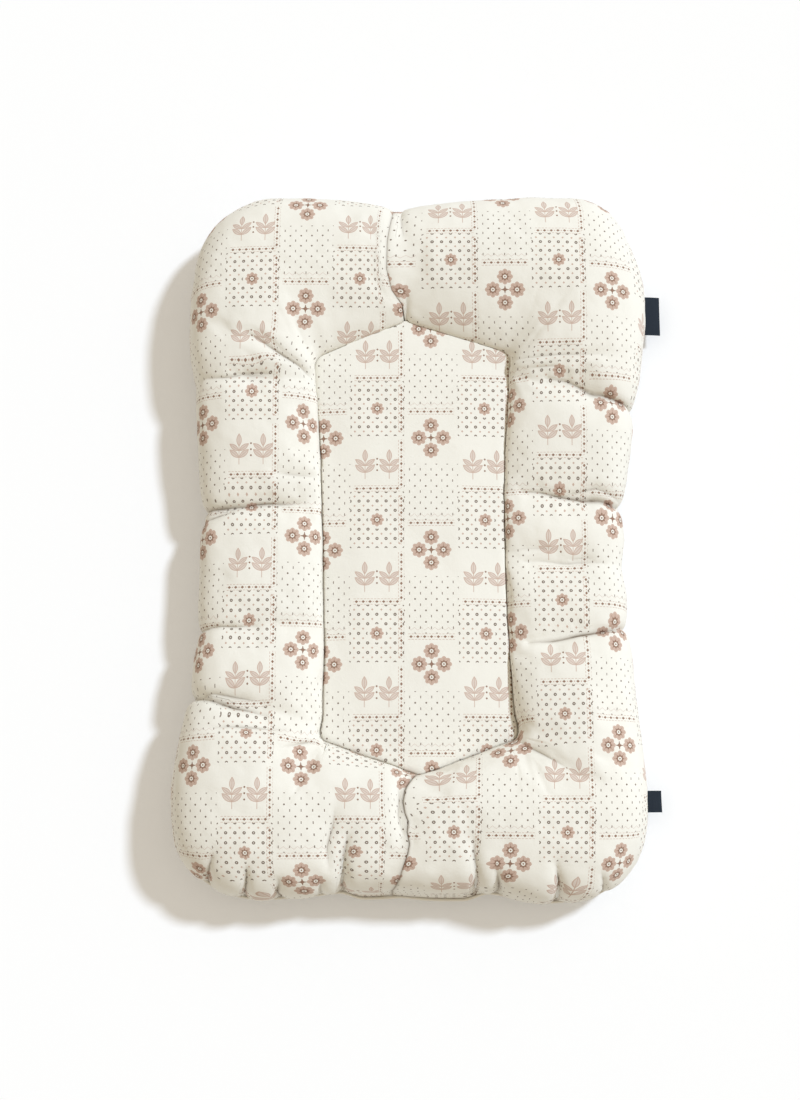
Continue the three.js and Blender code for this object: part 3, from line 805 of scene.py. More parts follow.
def layered_piece(name, outline, spacing, top_height, bottom_height, loops=(), shift=(0, 0)):
    """A closed piece over an outline in plan, between two heights worked out at each point."""
    plan, faces = filled_outline(outline, spacing, loops)
    closed = np.vstack([outline, outline[:1]])
    gap = np.abs(way_to_line(plan, closed)[0])
    top = np.column_stack([plan, top_height(plan, gap)])
    bottom = np.column_stack([plan, bottom_height(plan, gap)])
    count = len(plan)
    all_faces = faces.tolist() + (faces[:, ::-1] + count).tolist()
    all_faces += [(b, a, a + count, b + count) for a, b in edge_loop(faces)]
    layers = {"flat_cloth": np.vstack([plan, plan]) + shift}
    return faced_out(add_mesh(name, np.vstack([top, bottom]), all_faces, layers))


left = Side("left", left_outline_shares, left_nest_shares, left_rib_shares, left_folds, left_creases, 1)
right = Side("right", right_outline_shares, right_nest_shares, right_rib_shares, right_folds,
             right_creases, -1)


def round_places(reach_from_seam, height):
    """Points once round the lounger at a distance inside the seam at its outer edge."""
    loops = []
    for side in (left, right):
        rows = np.linspace(0, side.outline.length, round(side.outline.length / edge_step))
        inner = side.nest.at(side.inner_distance(rows))
        outward = side.outline.at(rows) - inner
        width = np.linalg.norm(outward, axis=1)
        reach = width - tuck_notch * side.draw(rows) - seam_inset(side.outline.at(rows)) - reach_from_seam
        loops.append(inner + outward * (reach / width)[:, None])
    plan = np.vstack([loops[0], loops[1][-2:0:-1]])
    return np.column_stack([plan, np.full(len(plan), height)])


def nest_outline(inset, step=edge_step):
    """The nest's edge in plan, moved in towards the middle."""
    loops = [side.nest.at(np.linspace(0, side.nest.length, round(side.nest.length / step)))
             for side in (left, right)]
    plan = np.vstack([loops[0], loops[1][-2:0:-1]])
    ahead = np.roll(plan, -3, axis=0) - np.roll(plan, 3, axis=0)
    inward = np.stack([-ahead[:, 1], ahead[:, 0]], -1) / np.linalg.norm(ahead, axis=1)[:, None]
    return plan + inward * inset


# Colours, written as they are seen on the cloth from 0 to 255
def seen(red, green, blue):
    shares = np.array([red, green, blue]) / 255
    linear = np.where(shares <= 0.04045, shares / 12.92, ((shares + 0.055) / 1.055) ** 2.4)
    return (*linear.tolist(), 1.0)


cream = seen(244, 241, 231)
blush = seen(224, 211, 200)
dusty_rose = seen(206, 180, 164)
rose_brown = seen(152, 122, 104)
taupe = seen(128, 112, 100)
# Painted shade: the brown that darkens the cloth along creases, seams and the crevice beside the nest
painted_crease_shade = seen(118, 92, 62)
plain_cream = seen(236, 230, 216)
piping_cream = seen(246, 242, 232)
fibre_grey = seen(228, 228, 224)
fibre_white = seen(252, 252, 248)
deep_navy = seen(21, 27, 35)
navy = seen(41, 50, 60)
floor_white = (0.80, 0.80, 0.80, 1.0)
warm_sky = (0.547, 0.487, 0.392, 1.0)


class Sum:
    """A number that the shader works out at each point, written as plain arithmetic."""

    def __init__(self, tree, socket):
        self.tree = tree
        self.socket = socket

    def work(self, operation, *others, clamp=False):
        node = self.tree.nodes.new("ShaderNodeMath")
        node.operation = operation
        node.use_clamp = clamp
        for socket, value in zip(node.inputs, [self, *others]):
            feed(self.tree, socket, value)
        return Sum(self.tree, node.outputs[0])

    def __add__(self, other):
        return self.work("ADD", other)

    def __sub__(self, other):
        return self.work("SUBTRACT", other)

    def __mul__(self, other):
        return self.work("MULTIPLY", other)

    def size(self):
        return self.work("ABSOLUTE")

    def repeated(self, period):
        return self.work("WRAP", period / 2, -period / 2)

    def either(self, other):
        return self.work("MAXIMUM", other)

    def both(self, other):
        return self.work("MINIMUM", other)

    def far(self, other):
        """Distance of the point that has these two as its coordinates."""
        return (self * self + other * other).work("SQRT")

    def under(self, limit, blur=0.35):
        """1 where the number is under the limit and 0 over it, with a soft edge."""
        return (Sum.of(self.tree, limit) - self).work("MULTIPLY_ADD", 1 / blur, 0.5, clamp=True)

    @staticmethod
    def of(tree, value):
        if isinstance(value, Sum):
            return value
        node = tree.nodes.new("ShaderNodeValue")
        node.outputs[0].default_value = value
        return Sum(tree, node.outputs[0])


def feed(tree, socket, value):
    """Links a socket to a number or another socket, or sets it."""
    if isinstance(value, Sum):
        tree.links.new(value.socket, socket)
    elif isinstance(value, bpy.types.NodeSocket):
        tree.links.new(value, socket)
    else:
        socket.default_value = value


def add_node(tree, kind, settings=(), **inputs):
    """A node with its settings made and its inputs fed."""
    node = tree.nodes.new(kind)
    for name, value in dict(settings).items():
        setattr(node, name, value)
    for name, value in inputs.items():
        feed(tree, node.inputs[name.replace("_", " ")], value)
    return node


def mixed(tree, share, low, high, blend="MIX"):
    node = add_node(tree, "ShaderNodeMix", {"data_type": "RGBA", "blend_type": blend})
    feed(tree, node.inputs[0], share)
    feed(tree, node.inputs[6], low)
    feed(tree, node.inputs[7], high)
    return node.outputs[2]


def shader_group(name, inputs, outputs):
    """An empty node group with named inputs and outputs, and its two end nodes."""
    group = bpy.data.node_groups.new(name, "ShaderNodeTree")
    for title, kind, value in inputs:
        socket = group.interface.new_socket(title, in_out="INPUT", socket_type=kind)
        if value is not None:
            socket.default_value = value
    for title, kind in outputs:
        group.interface.new_socket(title, in_out="OUTPUT", socket_type=kind)
    return group, group.nodes.new("NodeGroupInput"), group.nodes.new("NodeGroupOutput")


def cotton_weave():
    """Plain weave: threads over and under each other, a little uneven."""
    group, start, end = shader_group(
        "cotton weave",
        [("Vector", "NodeSocketVector", None), ("Thread Pitch", "NodeSocketFloat", printed_thread_pitch),
         ("Unevenness", "NodeSocketFloat", 0.5)],
        [("Height", "NodeSocketFloat"), ("Tint", "NodeSocketFloat")],
    )
    slub = add_node(group, "ShaderNodeTexNoise", Vector=start.outputs["Vector"], Scale=slubs_per_metre,
                    Detail=2.0)
    parts = add_node(group, "ShaderNodeSeparateXYZ", Vector=start.outputs["Vector"])
    pitch = Sum(group, start.outputs["Thread Pitch"])
    turn = Sum.of(group, math.pi).work("DIVIDE", pitch)
    across = (Sum(group, parts.outputs["X"]) * turn).work("SINE")
    along = (Sum(group, parts.outputs["Y"]) * turn).work("SINE")
    unevenness = (Sum(group, slub.outputs["Fac"]) - 0.5) * Sum(group, start.outputs["Unevenness"])
    height = across * across * 0.5 + along * along * 0.5 + unevenness
    feed(group, end.inputs["Height"], height)
    feed(group, end.inputs["Tint"], (across * along).size() * 0.5 + 0.5)
    return group


def handled_cloth():
    """Fine crumples, and the faint shading that cloth gets in use."""
    group, start, end = shader_group(
        "handled cloth",
        [("Vector", "NodeSocketVector", None), ("Crumple Size", "NodeSocketFloat", cotton_crumple_size)],
        [("Height", "NodeSocketFloat"), ("Shade", "NodeSocketFloat")],
    )
    scale = Sum.of(group, 1.0).work("DIVIDE", Sum(group, start.outputs["Crumple Size"]))
    crumple = add_node(group, "ShaderNodeTexNoise", Vector=start.outputs["Vector"], Scale=scale, Detail=4.0,
                       Roughness=0.6, Distortion=0.6)
    cloud = add_node(group, "ShaderNodeTexNoise", Vector=start.outputs["Vector"], Scale=clouds_per_metre,
                     Detail=3.0)
    ridge = (Sum(group, crumple.outputs["Fac"]) - 0.5).size()
    feed(group, end.inputs["Height"], ridge)
    feed(group, end.inputs["Shade"], cloud.outputs["Fac"])
    return group


# Sizes in the print, in mm
line_half = 0.35
vein_half = 0.30
leaf_line_half = 0.40
petal_scallop = 1.7
heart_scallop = 1.3
petal_vein_half = 0.6
eye_radius = 2.1
pip_radius = 0.9
sprig_leaf_sizes = [  # place along the stem, turn, gap to the stem, half length and half width
    (9, 0.70, 7.0, 6.6, 2.5), (1.5, 0.62, 6.6, 6.2, 2.3), (-3, math.pi / 2, 7.0, 6.6, 2.5),
]
stem_middle = 4
stem_half_length = 12
lozenge_reach = 1.25
square_half = 0.65
edge_line_place = 3
edge_line_half = 0.25
edge_line_half_length = 1.2
cross_reach = 4.2
cross_spread = 1.6
seed_radius = 1.0
clear_radius = 10
ring_radius = 1.7
ring_hole_radius = 0.55
diamond_reach = 1.3
tick_half = 0.45
tick_half_length = 1.3
speck_radius = 0.95


def leaf(across, along, turn, from_stem, half_length, half_width):
    """How far outside a pointed leaf a point lies, and how far from its middle vein, in mm."""
    cosine, sine = math.cos(turn), math.sin(turn)
    out = across * cosine + along * sine - from_stem
    aside = (along * cosine - across * sine).size()
    taper = (out * (1 / half_length)).work("POWER", 2) * -half_width + half_width
    return aside - taper, aside.either(out.size() - half_length * 0.8)


def daisy(across, along, reach):
    """Masks of an eight-petalled daisy: petals, the darker heart with its veins, eye and pip."""
    radius = across.far(along)
    turn = along.work("ARCTAN2", across) * 4
    petals = turn.work("COSINE").size()
    veins = (turn.work("SINE").size() * radius).under(petal_vein_half)
    veins = veins.both(radius.under(reach * 0.8))
    heart = radius.under(petals * heart_scallop + reach * 0.36).either(veins)
    whole = radius.under(petals * petal_scallop + (reach - petal_scallop))
    return whole, heart, radius.under(eye_radius), radius.under(pip_radius)


def sprig(across, along):
    """Outlines and veins, and the pale insides, of five leaves on a stem."""
    beside = across.size()
    lines, insides = None, None
    for (place, *sizes), way in zip(sprig_leaf_sizes, (beside, beside, across)):
        edge, vein = leaf(way, along + place, *sizes)
        inside = edge.under(0)
        line = edge.size().under(leaf_line_half).either(vein.under(vein_half).both(inside))
        lines = line if lines is None else lines.either(line)
        insides = inside if insides is None else insides.either(inside)
    stem = beside.under(line_half).both((along + stem_middle).size().under(stem_half_length))
    return lines.either(stem), insides


def lozenge_chain(across, along, pitch, length):
    """A short border of lozenges, with small squares between them."""
    chain = along.repeated(pitch)
    within = along.size().under(length / 2)
    lozenge = (across.size() * 0.8 + chain.size() * 0.65).under(lozenge_reach)
    square = across.size().either((chain.size() - pitch / 2).size()).under(square_half)
    dash = (chain.size() - pitch / 4).size().under(edge_line_half_length)
    edges = (across.size() - edge_line_place).size().under(edge_line_half).both(dash)
    return lozenge.both(within), square.either(edges).both(within)


# Places in the print, in mm
block_width = 58
block_height = 62
posy_drop = 2
posy_across = 13
posy_along = 14
posy_daisy_reach = 8.6
lone_daisy_reach = 7.4
sprig_drop = 1
sprig_across = 13
seed_step = 6.4
seed_reach = 10
ring_across = block_width / 6
ring_along = block_height / 6
tick_across = block_width / 5
tick_along = block_height / 5
border_along = 27.5
border_across = 26
border_length = 50
lozenge_step = block_width / 8
upright_length = 54
upright_step = block_height / 8


def foulard_print():
    """A scarf print of the plainest sort in staggered blocks: daisies in fours, leaf sprigs in
    pairs, ring dots round a daisy, and airy ticks, with short borders between them."""
    inks = ("Ground", "Blush", "Rose", "Brown", "Taupe")
    group, start, end = shader_group(
        "foulard print",
        [("Vector", "NodeSocketVector", None)] + [(ink, "NodeSocketColor", None) for ink in inks],
        [("Color", "NodeSocketColor"), ("Ink", "NodeSocketFloat")],
    )
    parts = add_node(group, "ShaderNodeSeparateXYZ", Vector=start.outputs["Vector"])
    across = Sum(group, parts.outputs["X"]) * 1000
    along = Sum(group, parts.outputs["Y"]) * 1000

    # The block that a point lies in, and its place there in mm
    u = across.repeated(block_width)
    odd_column = ((across - u) * (1 / block_width)).work("ROUND").work("MODULO", 2).size()
    stepped = along + odd_column * (block_height / 2)
    v = stepped.repeated(block_height)
    odd_row = ((stepped - v) * (1 / block_height)).work("ROUND").work("MODULO", 2).size()
    even_column = Sum.of(group, 1.0) - odd_column
    even_row = Sum.of(group, 1.0) - odd_row
    posies, airy = even_column.both(even_row), even_column.both(odd_row)
    sprigs, ringed = odd_column.both(even_row), odd_column.both(odd_row)

    # Daisies in fours, above and below and to both sides of a small leaf cross
    up = v + posy_drop
    beside = daisy(u.size() - posy_across, up, posy_daisy_reach)
    above = daisy(u, up.size() - posy_along, posy_daisy_reach)
    petals, heart, eye, pip = [one.either(other).both(posies) for one, other in zip(beside, above)]
    cross = (u.size() * up).size().under(cross_spread).both(u.far(up).under(cross_reach)).both(posies)

    # Leaf sprigs in pairs, with dots between them
    up = v + sprig_drop
    sprig_lines, sprig_leaves = [mask.both(sprigs) for mask in sprig(u.size() - sprig_across, up)]
    seeds = u.far(up.repeated(seed_step)).under(seed_radius).both(up.size().under(seed_reach)).both(sprigs)

    # Ring dots and diamonds round one more daisy
    dot_far = u.repeated(ring_across).far(v.repeated(ring_along))
    clear = u.far(v).under(clear_radius, 1.0)
    field = ringed.both(Sum.of(group, 1.0) - clear)
    dots = dot_far.under(ring_radius).both(Sum.of(group, 1.0) - dot_far.under(ring_hole_radius)).both(field)
    diamond_across = (u + ring_across / 2).repeated(ring_across).size()
    diamond_along = (v + ring_along / 2).repeated(ring_along).size()
    diamonds = (diamond_across + diamond_along).under(diamond_reach).both(field)
    lone = [mask.both(ringed) for mask in daisy(u, v, lone_daisy_reach)]

    # Airy ticks and dots
    upright_tick = v.repeated(tick_along).size().under(tick_half_length)
    ticks = u.repeated(tick_across).size().under(tick_half).both(upright_tick).both(airy)
    speck_across = (u + tick_across / 2).repeated(tick_across)
    speck_along = (v + tick_along / 2).repeated(tick_along)
    specks = speck_across.far(speck_along).under(speck_radius).both(airy)

    # Borders: lozenges over the daisies and beside the ring dots, a zigzag under the ticks
    over, over_squares = lozenge_chain(v - border_along, u, lozenge_step, border_length)
    upright, upright_squares = lozenge_chain(u - border_across, v, upright_step, upright_length)
    low, low_squares = lozenge_chain(v + border_along, u, lozenge_step, border_length)
    wave = (u.repeated(lozenge_step).size() - lozenge_step / 4) * 0.8
    zigzag = (v + border_across - wave).size().under(line_half)
    zigzag = zigzag.both(u.size().under(border_length / 2))
    framed = ringed.either(sprigs)
    brown_border = over.both(posies).either(upright.both(framed)).either(low.both(sprigs))
    rose_border = over_squares.both(posies).either(upright_squares.both(framed))
    rose_border = rose_border.either(low_squares.both(sprigs))

    rose = petals.either(lone[0]).either(sprig_lines).either(rose_border).either(diamonds)
    brown = heart.either(lone[1]).either(brown_border).either(seeds).either(cross)
    taupe_ink = dots.either(ticks).either(specks)
    pale = sprig_leaves.either(zigzag.both(airy))
    color = start.outputs["Ground"]
    for ink, mask in (("Blush", pale), ("Rose", rose), ("Brown", brown), ("Taupe", taupe_ink),
                      ("Ground", eye.either(lone[2])), ("Brown", pip.either(lone[3]))):
        color = mixed(group, mask, color, start.outputs[ink])
    feed(group, end.inputs["Color"], color)
    feed(group, end.inputs["Ink"], rose.either(brown).either(taupe_ink))
    return group


weave_group = cotton_weave()
handled_group = handled_cloth()
print_group = foulard_print()


def new_material(name):
    material = bpy.data.materials.new(name)
    material.use_nodes = True
    tree = material.node_tree
    return material, tree, tree.nodes["Principled BSDF"]


def use_group(tree, group, **inputs):
    return add_node(tree, "ShaderNodeGroup", {"node_tree": group}, **inputs)


def painted_crease_shade_line(tree):
    """1 down the middle of a sharp crease, seam or the crevice beside the nest, fading to both sides, times
    how dark the painted shade there is.
    """
    marks = add_node(tree, "ShaderNodeUVMap", {"uv_map": "creases"})
    parts = add_node(tree, "ShaderNodeSeparateXYZ", Vector=marks.outputs["UV"])
    away = Sum(tree, parts.outputs["X"]).size()
    return (away * (-1 / painted_shade_spread)).work("EXPONENT") * Sum(tree, parts.outputs["Y"])


def cotton(name, pitch, printed=False, ground=cream):
    """Woven cotton: weave and fine crumples as relief, ink or plain dye as colour, and on printed cloth
    painted shade along its creases, seams and the crevice beside the nest.
    """
    material, tree, surface = new_material(name)
    place = add_node(tree, "ShaderNodeUVMap", {"uv_map": "flat_cloth"}).outputs["UV"]
    weave = use_group(tree, weave_group, Vector=place, Thread_Pitch=pitch, Unevenness=0.6)
    handled = use_group(tree, handled_group, Vector=place, Crumple_Size=cotton_crumple_size)
    shade = (Sum(tree, handled.outputs["Shade"]) - 0.5) * 0.10 + 0.97
    thread = Sum(tree, weave.outputs["Tint"]) * 0.05 + 0.96
    roughness = Sum(tree, handled.outputs["Shade"]) * 0.12 + 0.80
    crumpled = add_node(tree, "ShaderNodeBump", Height=handled.outputs["Height"], Strength=0.35,
                        Distance=crumple_relief)
    if printed:
        inked = use_group(tree, print_group, Vector=place, Ground=ground, Blush=blush, Rose=dusty_rose,
                          Brown=rose_brown, Taupe=taupe)
        color = mixed(tree, 1.0, inked.outputs["Color"], shade * thread, "MULTIPLY")
        # Painted shade: the printed cloth is darkened towards brown along creases, seams and the crevice
        # beside the nest
        crease = painted_crease_shade_line(tree)
        color = mixed(tree, crease, color, painted_crease_shade, "MULTIPLY")
        roughness -= Sum(tree, inked.outputs["Ink"]) * 0.05
        drawn = add_node(tree, "ShaderNodeBump", {"invert": True}, Height=crease, Strength=1.0,
                         Distance=crease_relief)
        feed(tree, crumpled.inputs["Normal"], drawn.outputs["Normal"])
    else:
        color = mixed(tree, 1.0, ground, shade * thread, "MULTIPLY")
    feed(tree, surface.inputs["Base Color"], color)
    feed(tree, surface.inputs["Roughness"], roughness)
    surface.inputs["Sheen Weight"].default_value = 0.04
    surface.inputs["Sheen Roughness"].default_value = 0.5
    surface.inputs["Specular IOR Level"].default_value = 0.12
    woven = add_node(tree, "ShaderNodeBump", Height=weave.outputs["Height"], Strength=0.5,
                     Distance=weave_relief, Normal=crumpled.outputs["Normal"])
    feed(tree, surface.inputs["Normal"], woven.outputs["Normal"])
    return material


def fibre():
    """Polyester filling: white, matt and fluffy."""
    material, tree, surface = new_material("fibre_filling")
    place = add_node(tree, "ShaderNodeNewGeometry").outputs["Position"]
    strands = add_node(tree, "ShaderNodeTexNoise", Vector=place, Scale=tufts_per_metre, Detail=6.0,
                       Roughness=0.7, Distortion=1.5)
    color = mixed(tree, strands.outputs["Fac"], fibre_grey, fibre_white)
    feed(tree, surface.inputs["Base Color"], color)
    feed(tree, surface.inputs["Roughness"], Sum(tree, strands.outputs["Fac"]) * 0.1 + 0.88)
    tufts = add_node(tree, "ShaderNodeBump", Height=strands.outputs["Fac"], Strength=0.8,
                     Distance=tuft_relief)
    feed(tree, surface.inputs["Normal"], tufts.outputs["Normal"])
    return material


def ribbon():
    """Navy satin ribbon with fine cross ribs."""
    material, tree, surface = new_material("navy_ribbon")
    place = add_node(tree, "ShaderNodeUVMap", {"uv_map": "flat_cloth"}).outputs["UV"]
    weave = use_group(tree, weave_group, Vector=place, Thread_Pitch=ribbon_thread_pitch, Unevenness=0.3)
    handled = use_group(tree, handled_group, Vector=place, Crumple_Size=ribbon_crumple_size)
    parts = add_node(tree, "ShaderNodeSeparateXYZ", Vector=place)
    rib = (Sum(tree, parts.outputs["X"]) * (2 * math.pi / ribbon_rib_pitch)).work("SINE")
    shade = Sum(tree, weave.outputs["Tint"]) * 0.3 + Sum(tree, handled.outputs["Shade"]) * 0.5
    color = mixed(tree, shade, deep_navy, navy)
    feed(tree, surface.inputs["Base Color"], color)
    feed(tree, surface.inputs["Roughness"], Sum(tree, weave.outputs["Tint"]) * 0.15 + 0.42)
    surface.inputs["Sheen Weight"].default_value = 0.01
    surface.inputs["Specular IOR Level"].default_value = 0.1
    height = rib * 0.5 + Sum(tree, weave.outputs["Height"])
    ribs = add_node(tree, "ShaderNodeBump", Height=height, Strength=0.5, Distance=weave_relief)
    feed(tree, surface.inputs["Normal"], ribs.outputs["Normal"])
    return material


printed_cotton = cotton("printed_cotton", printed_thread_pitch, printed=True)
plain_cotton = cotton("plain_cotton", plain_thread_pitch, ground=plain_cream)
piping_cotton = cotton("piping_cotton", piping_thread_pitch, ground=piping_cream)
fibre_filling = fibre()
navy_ribbon = ribbon()


def finish_piece(piece, material, slot, body, *nodes):
    piece.data.materials.append(material)
    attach(piece, body)
    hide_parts(*nodes)
    return piece


# The covers, with what lies under them
wad_names = ["head_corner", "upper_side", "middle_side", "lower_side", "foot_corner"]


def heel_height(reach, width):
    climb = np.maximum(reach - (width - heel_width), 0) / (heel_width - rim_seam_inset)
    return rim_seam_height * climb * climb


def filling_outlines(side, rows, surface, inset, chosen):
    """Closed outlines of the filling under chosen rows of a cover: over the arch, down beside the
    nest, and back along the floor and the heel."""
    normals = surface_normals(surface, side.hand)
    columns = np.arange(2, surface.shape[1] - 2, wad_column_step)
    inset = np.broadcast_to(inset, surface.shape[:2])[..., None]
    over = (surface - normals * inset)[chosen][:, columns]
    inner = side.nest.at(side.inner_distance(rows[chosen]))
    outward = side.outline.at(rows[chosen]) - inner
    width = np.linalg.norm(outward, axis=1)
    outward /= width[:, None]
    width -= tuck_notch * side.draw(rows[chosen])
    below = []
    lift = cloth_thickness + floor_gap
    for reach_share in np.linspace(0, 1, wad_floor_points):
        reach = wad_edge_gap + (width - rim_seam_inset - 2 * wad_edge_gap) * reach_share
        plan = inner + outward * reach[:, None]
        below.append(np.column_stack([plan, heel_height(reach, width) + lift]))
    return np.concatenate([over, np.stack(below, 1)], axis=1)


def sewn_half(side):
    rows, surface, cloth, depth, marks = cover_surface(side)
    inner = surface - surface_normals(surface, side.hand) * cloth_thickness
    cover = shell(f"printed_cover_{side.name}", surface, inner, cloth, marks, side.hand)
    finish_piece(cover, printed_cotton, "printed_cotton", "lounger", f"bolster_cover_{side.name}")
    places = side.tuck_places
    for name, start, end in zip(wad_names, places, places[1:]):
        inside = np.flatnonzero((rows > start + wad_tuck_gap) & (rows < end - wad_tuck_gap))
        count = max(len(inside) // wad_row_step, fewest_wad_rows)
        chosen = np.unique(inside[np.linspace(0, len(inside) - 1, count).astype(int)])
        outlines = filling_outlines(side, rows, surface, cloth_thickness + filling_gap + depth, chosen)
        wad = loft(f"fibre_wad_{name}_{side.name}", outlines)
        finish_piece(wad, fibre_filling, "fibre_filling", "lounger", f"wad_{name}_{side.name}")
    for number, place in enumerate(places[1:-1], 1):
        row = np.abs(rows - place).argmin()
        outline = filling_outlines(side, rows, surface, cloth_thickness + web_gap, np.array([row]))[0]
        sew_in_web(f"web_{number}_{side.name}", outline, f"tuck_divider_{number}_{side.name}")
    return rows, surface, cover


def sew_in_web(name, outline, node):
    """A flat web of cloth with that outline, across the bolster, from the cover to the underside."""
    across = outline[len(outline) // 2] - outline[0]
    way = np.cross(across, (0, 0, 1.0))
    half = way / np.linalg.norm(way) * web_half_thickness
    lengths = np.linalg.norm(outline[:, :2] - outline[0, :2], axis=1)
    flat = np.column_stack([lengths, outline[:, 2]])
    faces = np.stack([outline - half, outline + half])
    divider = loft(name, faces, {"flat_cloth": np.vstack([flat, flat])})
    finish_piece(divider, plain_cotton, "plain_cotton", "lounger", node)


left_rows, left_surface, left_cover = sewn_half(left)
_, right_surface, _ = sewn_half(right)

for end, row in (("head", 0), ("foot", len(left_rows) - 1)):
    inset = cloth_thickness + web_gap
    outline = filling_outlines(left, left_rows, left_surface, inset, np.array([row]))[0]
    sew_in_web(f"web_{end}", outline, f"{end}_divider")


# The nest: a padded panel sewn in under the edge of the covers, and pressed up against them
def cover_over(plan, near):
    """Height of the covers straight above each chosen place, from below the seam."""
    faces = []
    for surface, hand in ((left_surface, 1), (right_surface, -1)):
        wall = surface[:, wall_columns_from:]
        faces.append((wall.reshape(-1, 3).tolist(), grid_faces(*wall.shape[:2], hand).tolist()))
    walls = [BVHTree.FromPolygons(*wall) for wall in faces]
    heights = np.full(len(plan), np.inf)
    for index in np.flatnonzero(near):
        x, y = plan[index]
        aside = panel_press_gap * smooth((crevice_start - y) / crevice_blend)
        for across, along in ((0, 0), (aside, 0), (-aside, 0), (0, aside), (0, -aside)):
            start = Vector((x + across, y + along, belly_height))
            for wall in walls:
                place = wall.ray_cast(start, Vector((0, 0, 1)), bolster_height - belly_height)[0]
                if place is not None:
                    heights[index] = min(heights[index], place.z)
    return heights


def nest_top(plan, reach):
    """The panel rises steeply beside the covers and stays a little uneven over the wadding."""
    shoulder_start = lean_over_nest(plan)[0] * nest_shoulder_start_share
    turned = 1 - np.clip((reach - shoulder_start) / nest_shoulder_width, 0, 1)
    shoulder = nest_shoulder_share * (1 - turned**nest_shoulder_power) ** (1 / nest_shoulder_power)
    rise = nest_crown * (shoulder + (1 - nest_shoulder_share) * smooth(reach / nest_crown_reach))
    head_rise = nest_head_lift * smooth(reach / nest_head_lift_reach)
    head_rise += (nest_crown - nest_head_lift) * smooth(reach / nest_head_crown_reach)
    rise += (head_rise - rise) * at_nest_head(plan)
    places = np.column_stack([plan, np.zeros(len(plan))])
    soft = swollen(places, panel_swellings, (5.3, 2.9))
    free = nest_seam_height - panel_drop + rise + soft * smooth(reach / panel_even_reach)
    beside = (reach > 0) & (reach < panel_even_reach)
    return np.minimum(free, cover_over(plan, beside) - panel_clearance)


panel_loops = [(inset + panel_tuck_in, nest_outline(inset, nest_loop_step)) for inset in nest_edge_insets]
panel = layered_piece("printed_nest_panel", nest_outline(-panel_tuck_in), panel_step,
                      lambda plan, gap: nest_top(plan, gap - panel_tuck_in),
                      lambda plan, gap: nest_top(plan, gap - panel_tuck_in) - cloth_thickness, panel_loops,
                      cut_from["nest"])
finish_piece(panel, printed_cotton, "printed_cotton", "lounger", "centre_panel")
pad = layered_piece("fibre_nest_pad", nest_outline(pad_inset), pad_step,
                    lambda plan, gap: nest_top(plan, gap + pad_inset) - cloth_thickness - pad_gap,
                    lambda plan, gap: np.full(len(plan), cloth_thickness + floor_gap))
finish_piece(pad, fibre_filling, "fibre_filling", "lounger", "centre_pad")
nest_outline(-panel_tuck_in)


# The underside, flat on the floor and curved up to the seam, with the piping in the seam
def underside(plan, gap):
    heel = heel_width - rim_seam_inset
    climb = np.clip((heel - piping_seam_gap - gap) / heel, 0, 1)
    return rim_seam_height * climb * climb


seam_line = round_places(piping_seam_gap, 0)[:, :2]
base = layered_piece("base_cloth", seam_line, base_step,
                     lambda plan, gap: underside(plan, gap) + cloth_thickness, underside)
finish_piece(base, plain_cotton, "plain_cotton", "lounger", "base_panel")


def piping():
    """A thin cord covered with cloth cut on the bias, all round the seam."""
    middle = round_places(-piping_stand_off, piping_height)
    ahead = np.roll(middle, -1, axis=0) - np.roll(middle, 1, axis=0)
    ahead /= np.linalg.norm(ahead, axis=1)[:, None]
    outward = np.cross(ahead, (0, 0, 1.0))
    angles = np.arange(piping_sides) / piping_sides * 2 * math.pi
    ring = outward[:, None] * np.cos(angles)[:, None] + np.array((0, 0, 1.0)) * np.sin(angles)[:, None]
    points = middle[:, None] + ring * piping_radius
    count = len(middle)
    corner = np.arange(count * piping_sides).reshape(count, piping_sides)
    ahead_corner = np.roll(corner, -1, axis=0)
    square = [corner, ahead_corner, np.roll(ahead_corner, -1, axis=1), np.roll(corner, -1, axis=1)]
    faces = np.stack(square, -1)
    steps = np.cumsum(np.linalg.norm(middle - np.roll(middle, 1, axis=0), axis=1))
    flat = np.stack(np.broadcast_arrays(steps[:, None], angles * piping_radius), -1)
    return faced_out(add_mesh("bias_piping", points, faces.reshape(-1, 4), {"flat_cloth": flat}))


finish_piece(piping(), piping_cotton, "piping_cotton", "lounger", "perimeter_piping")


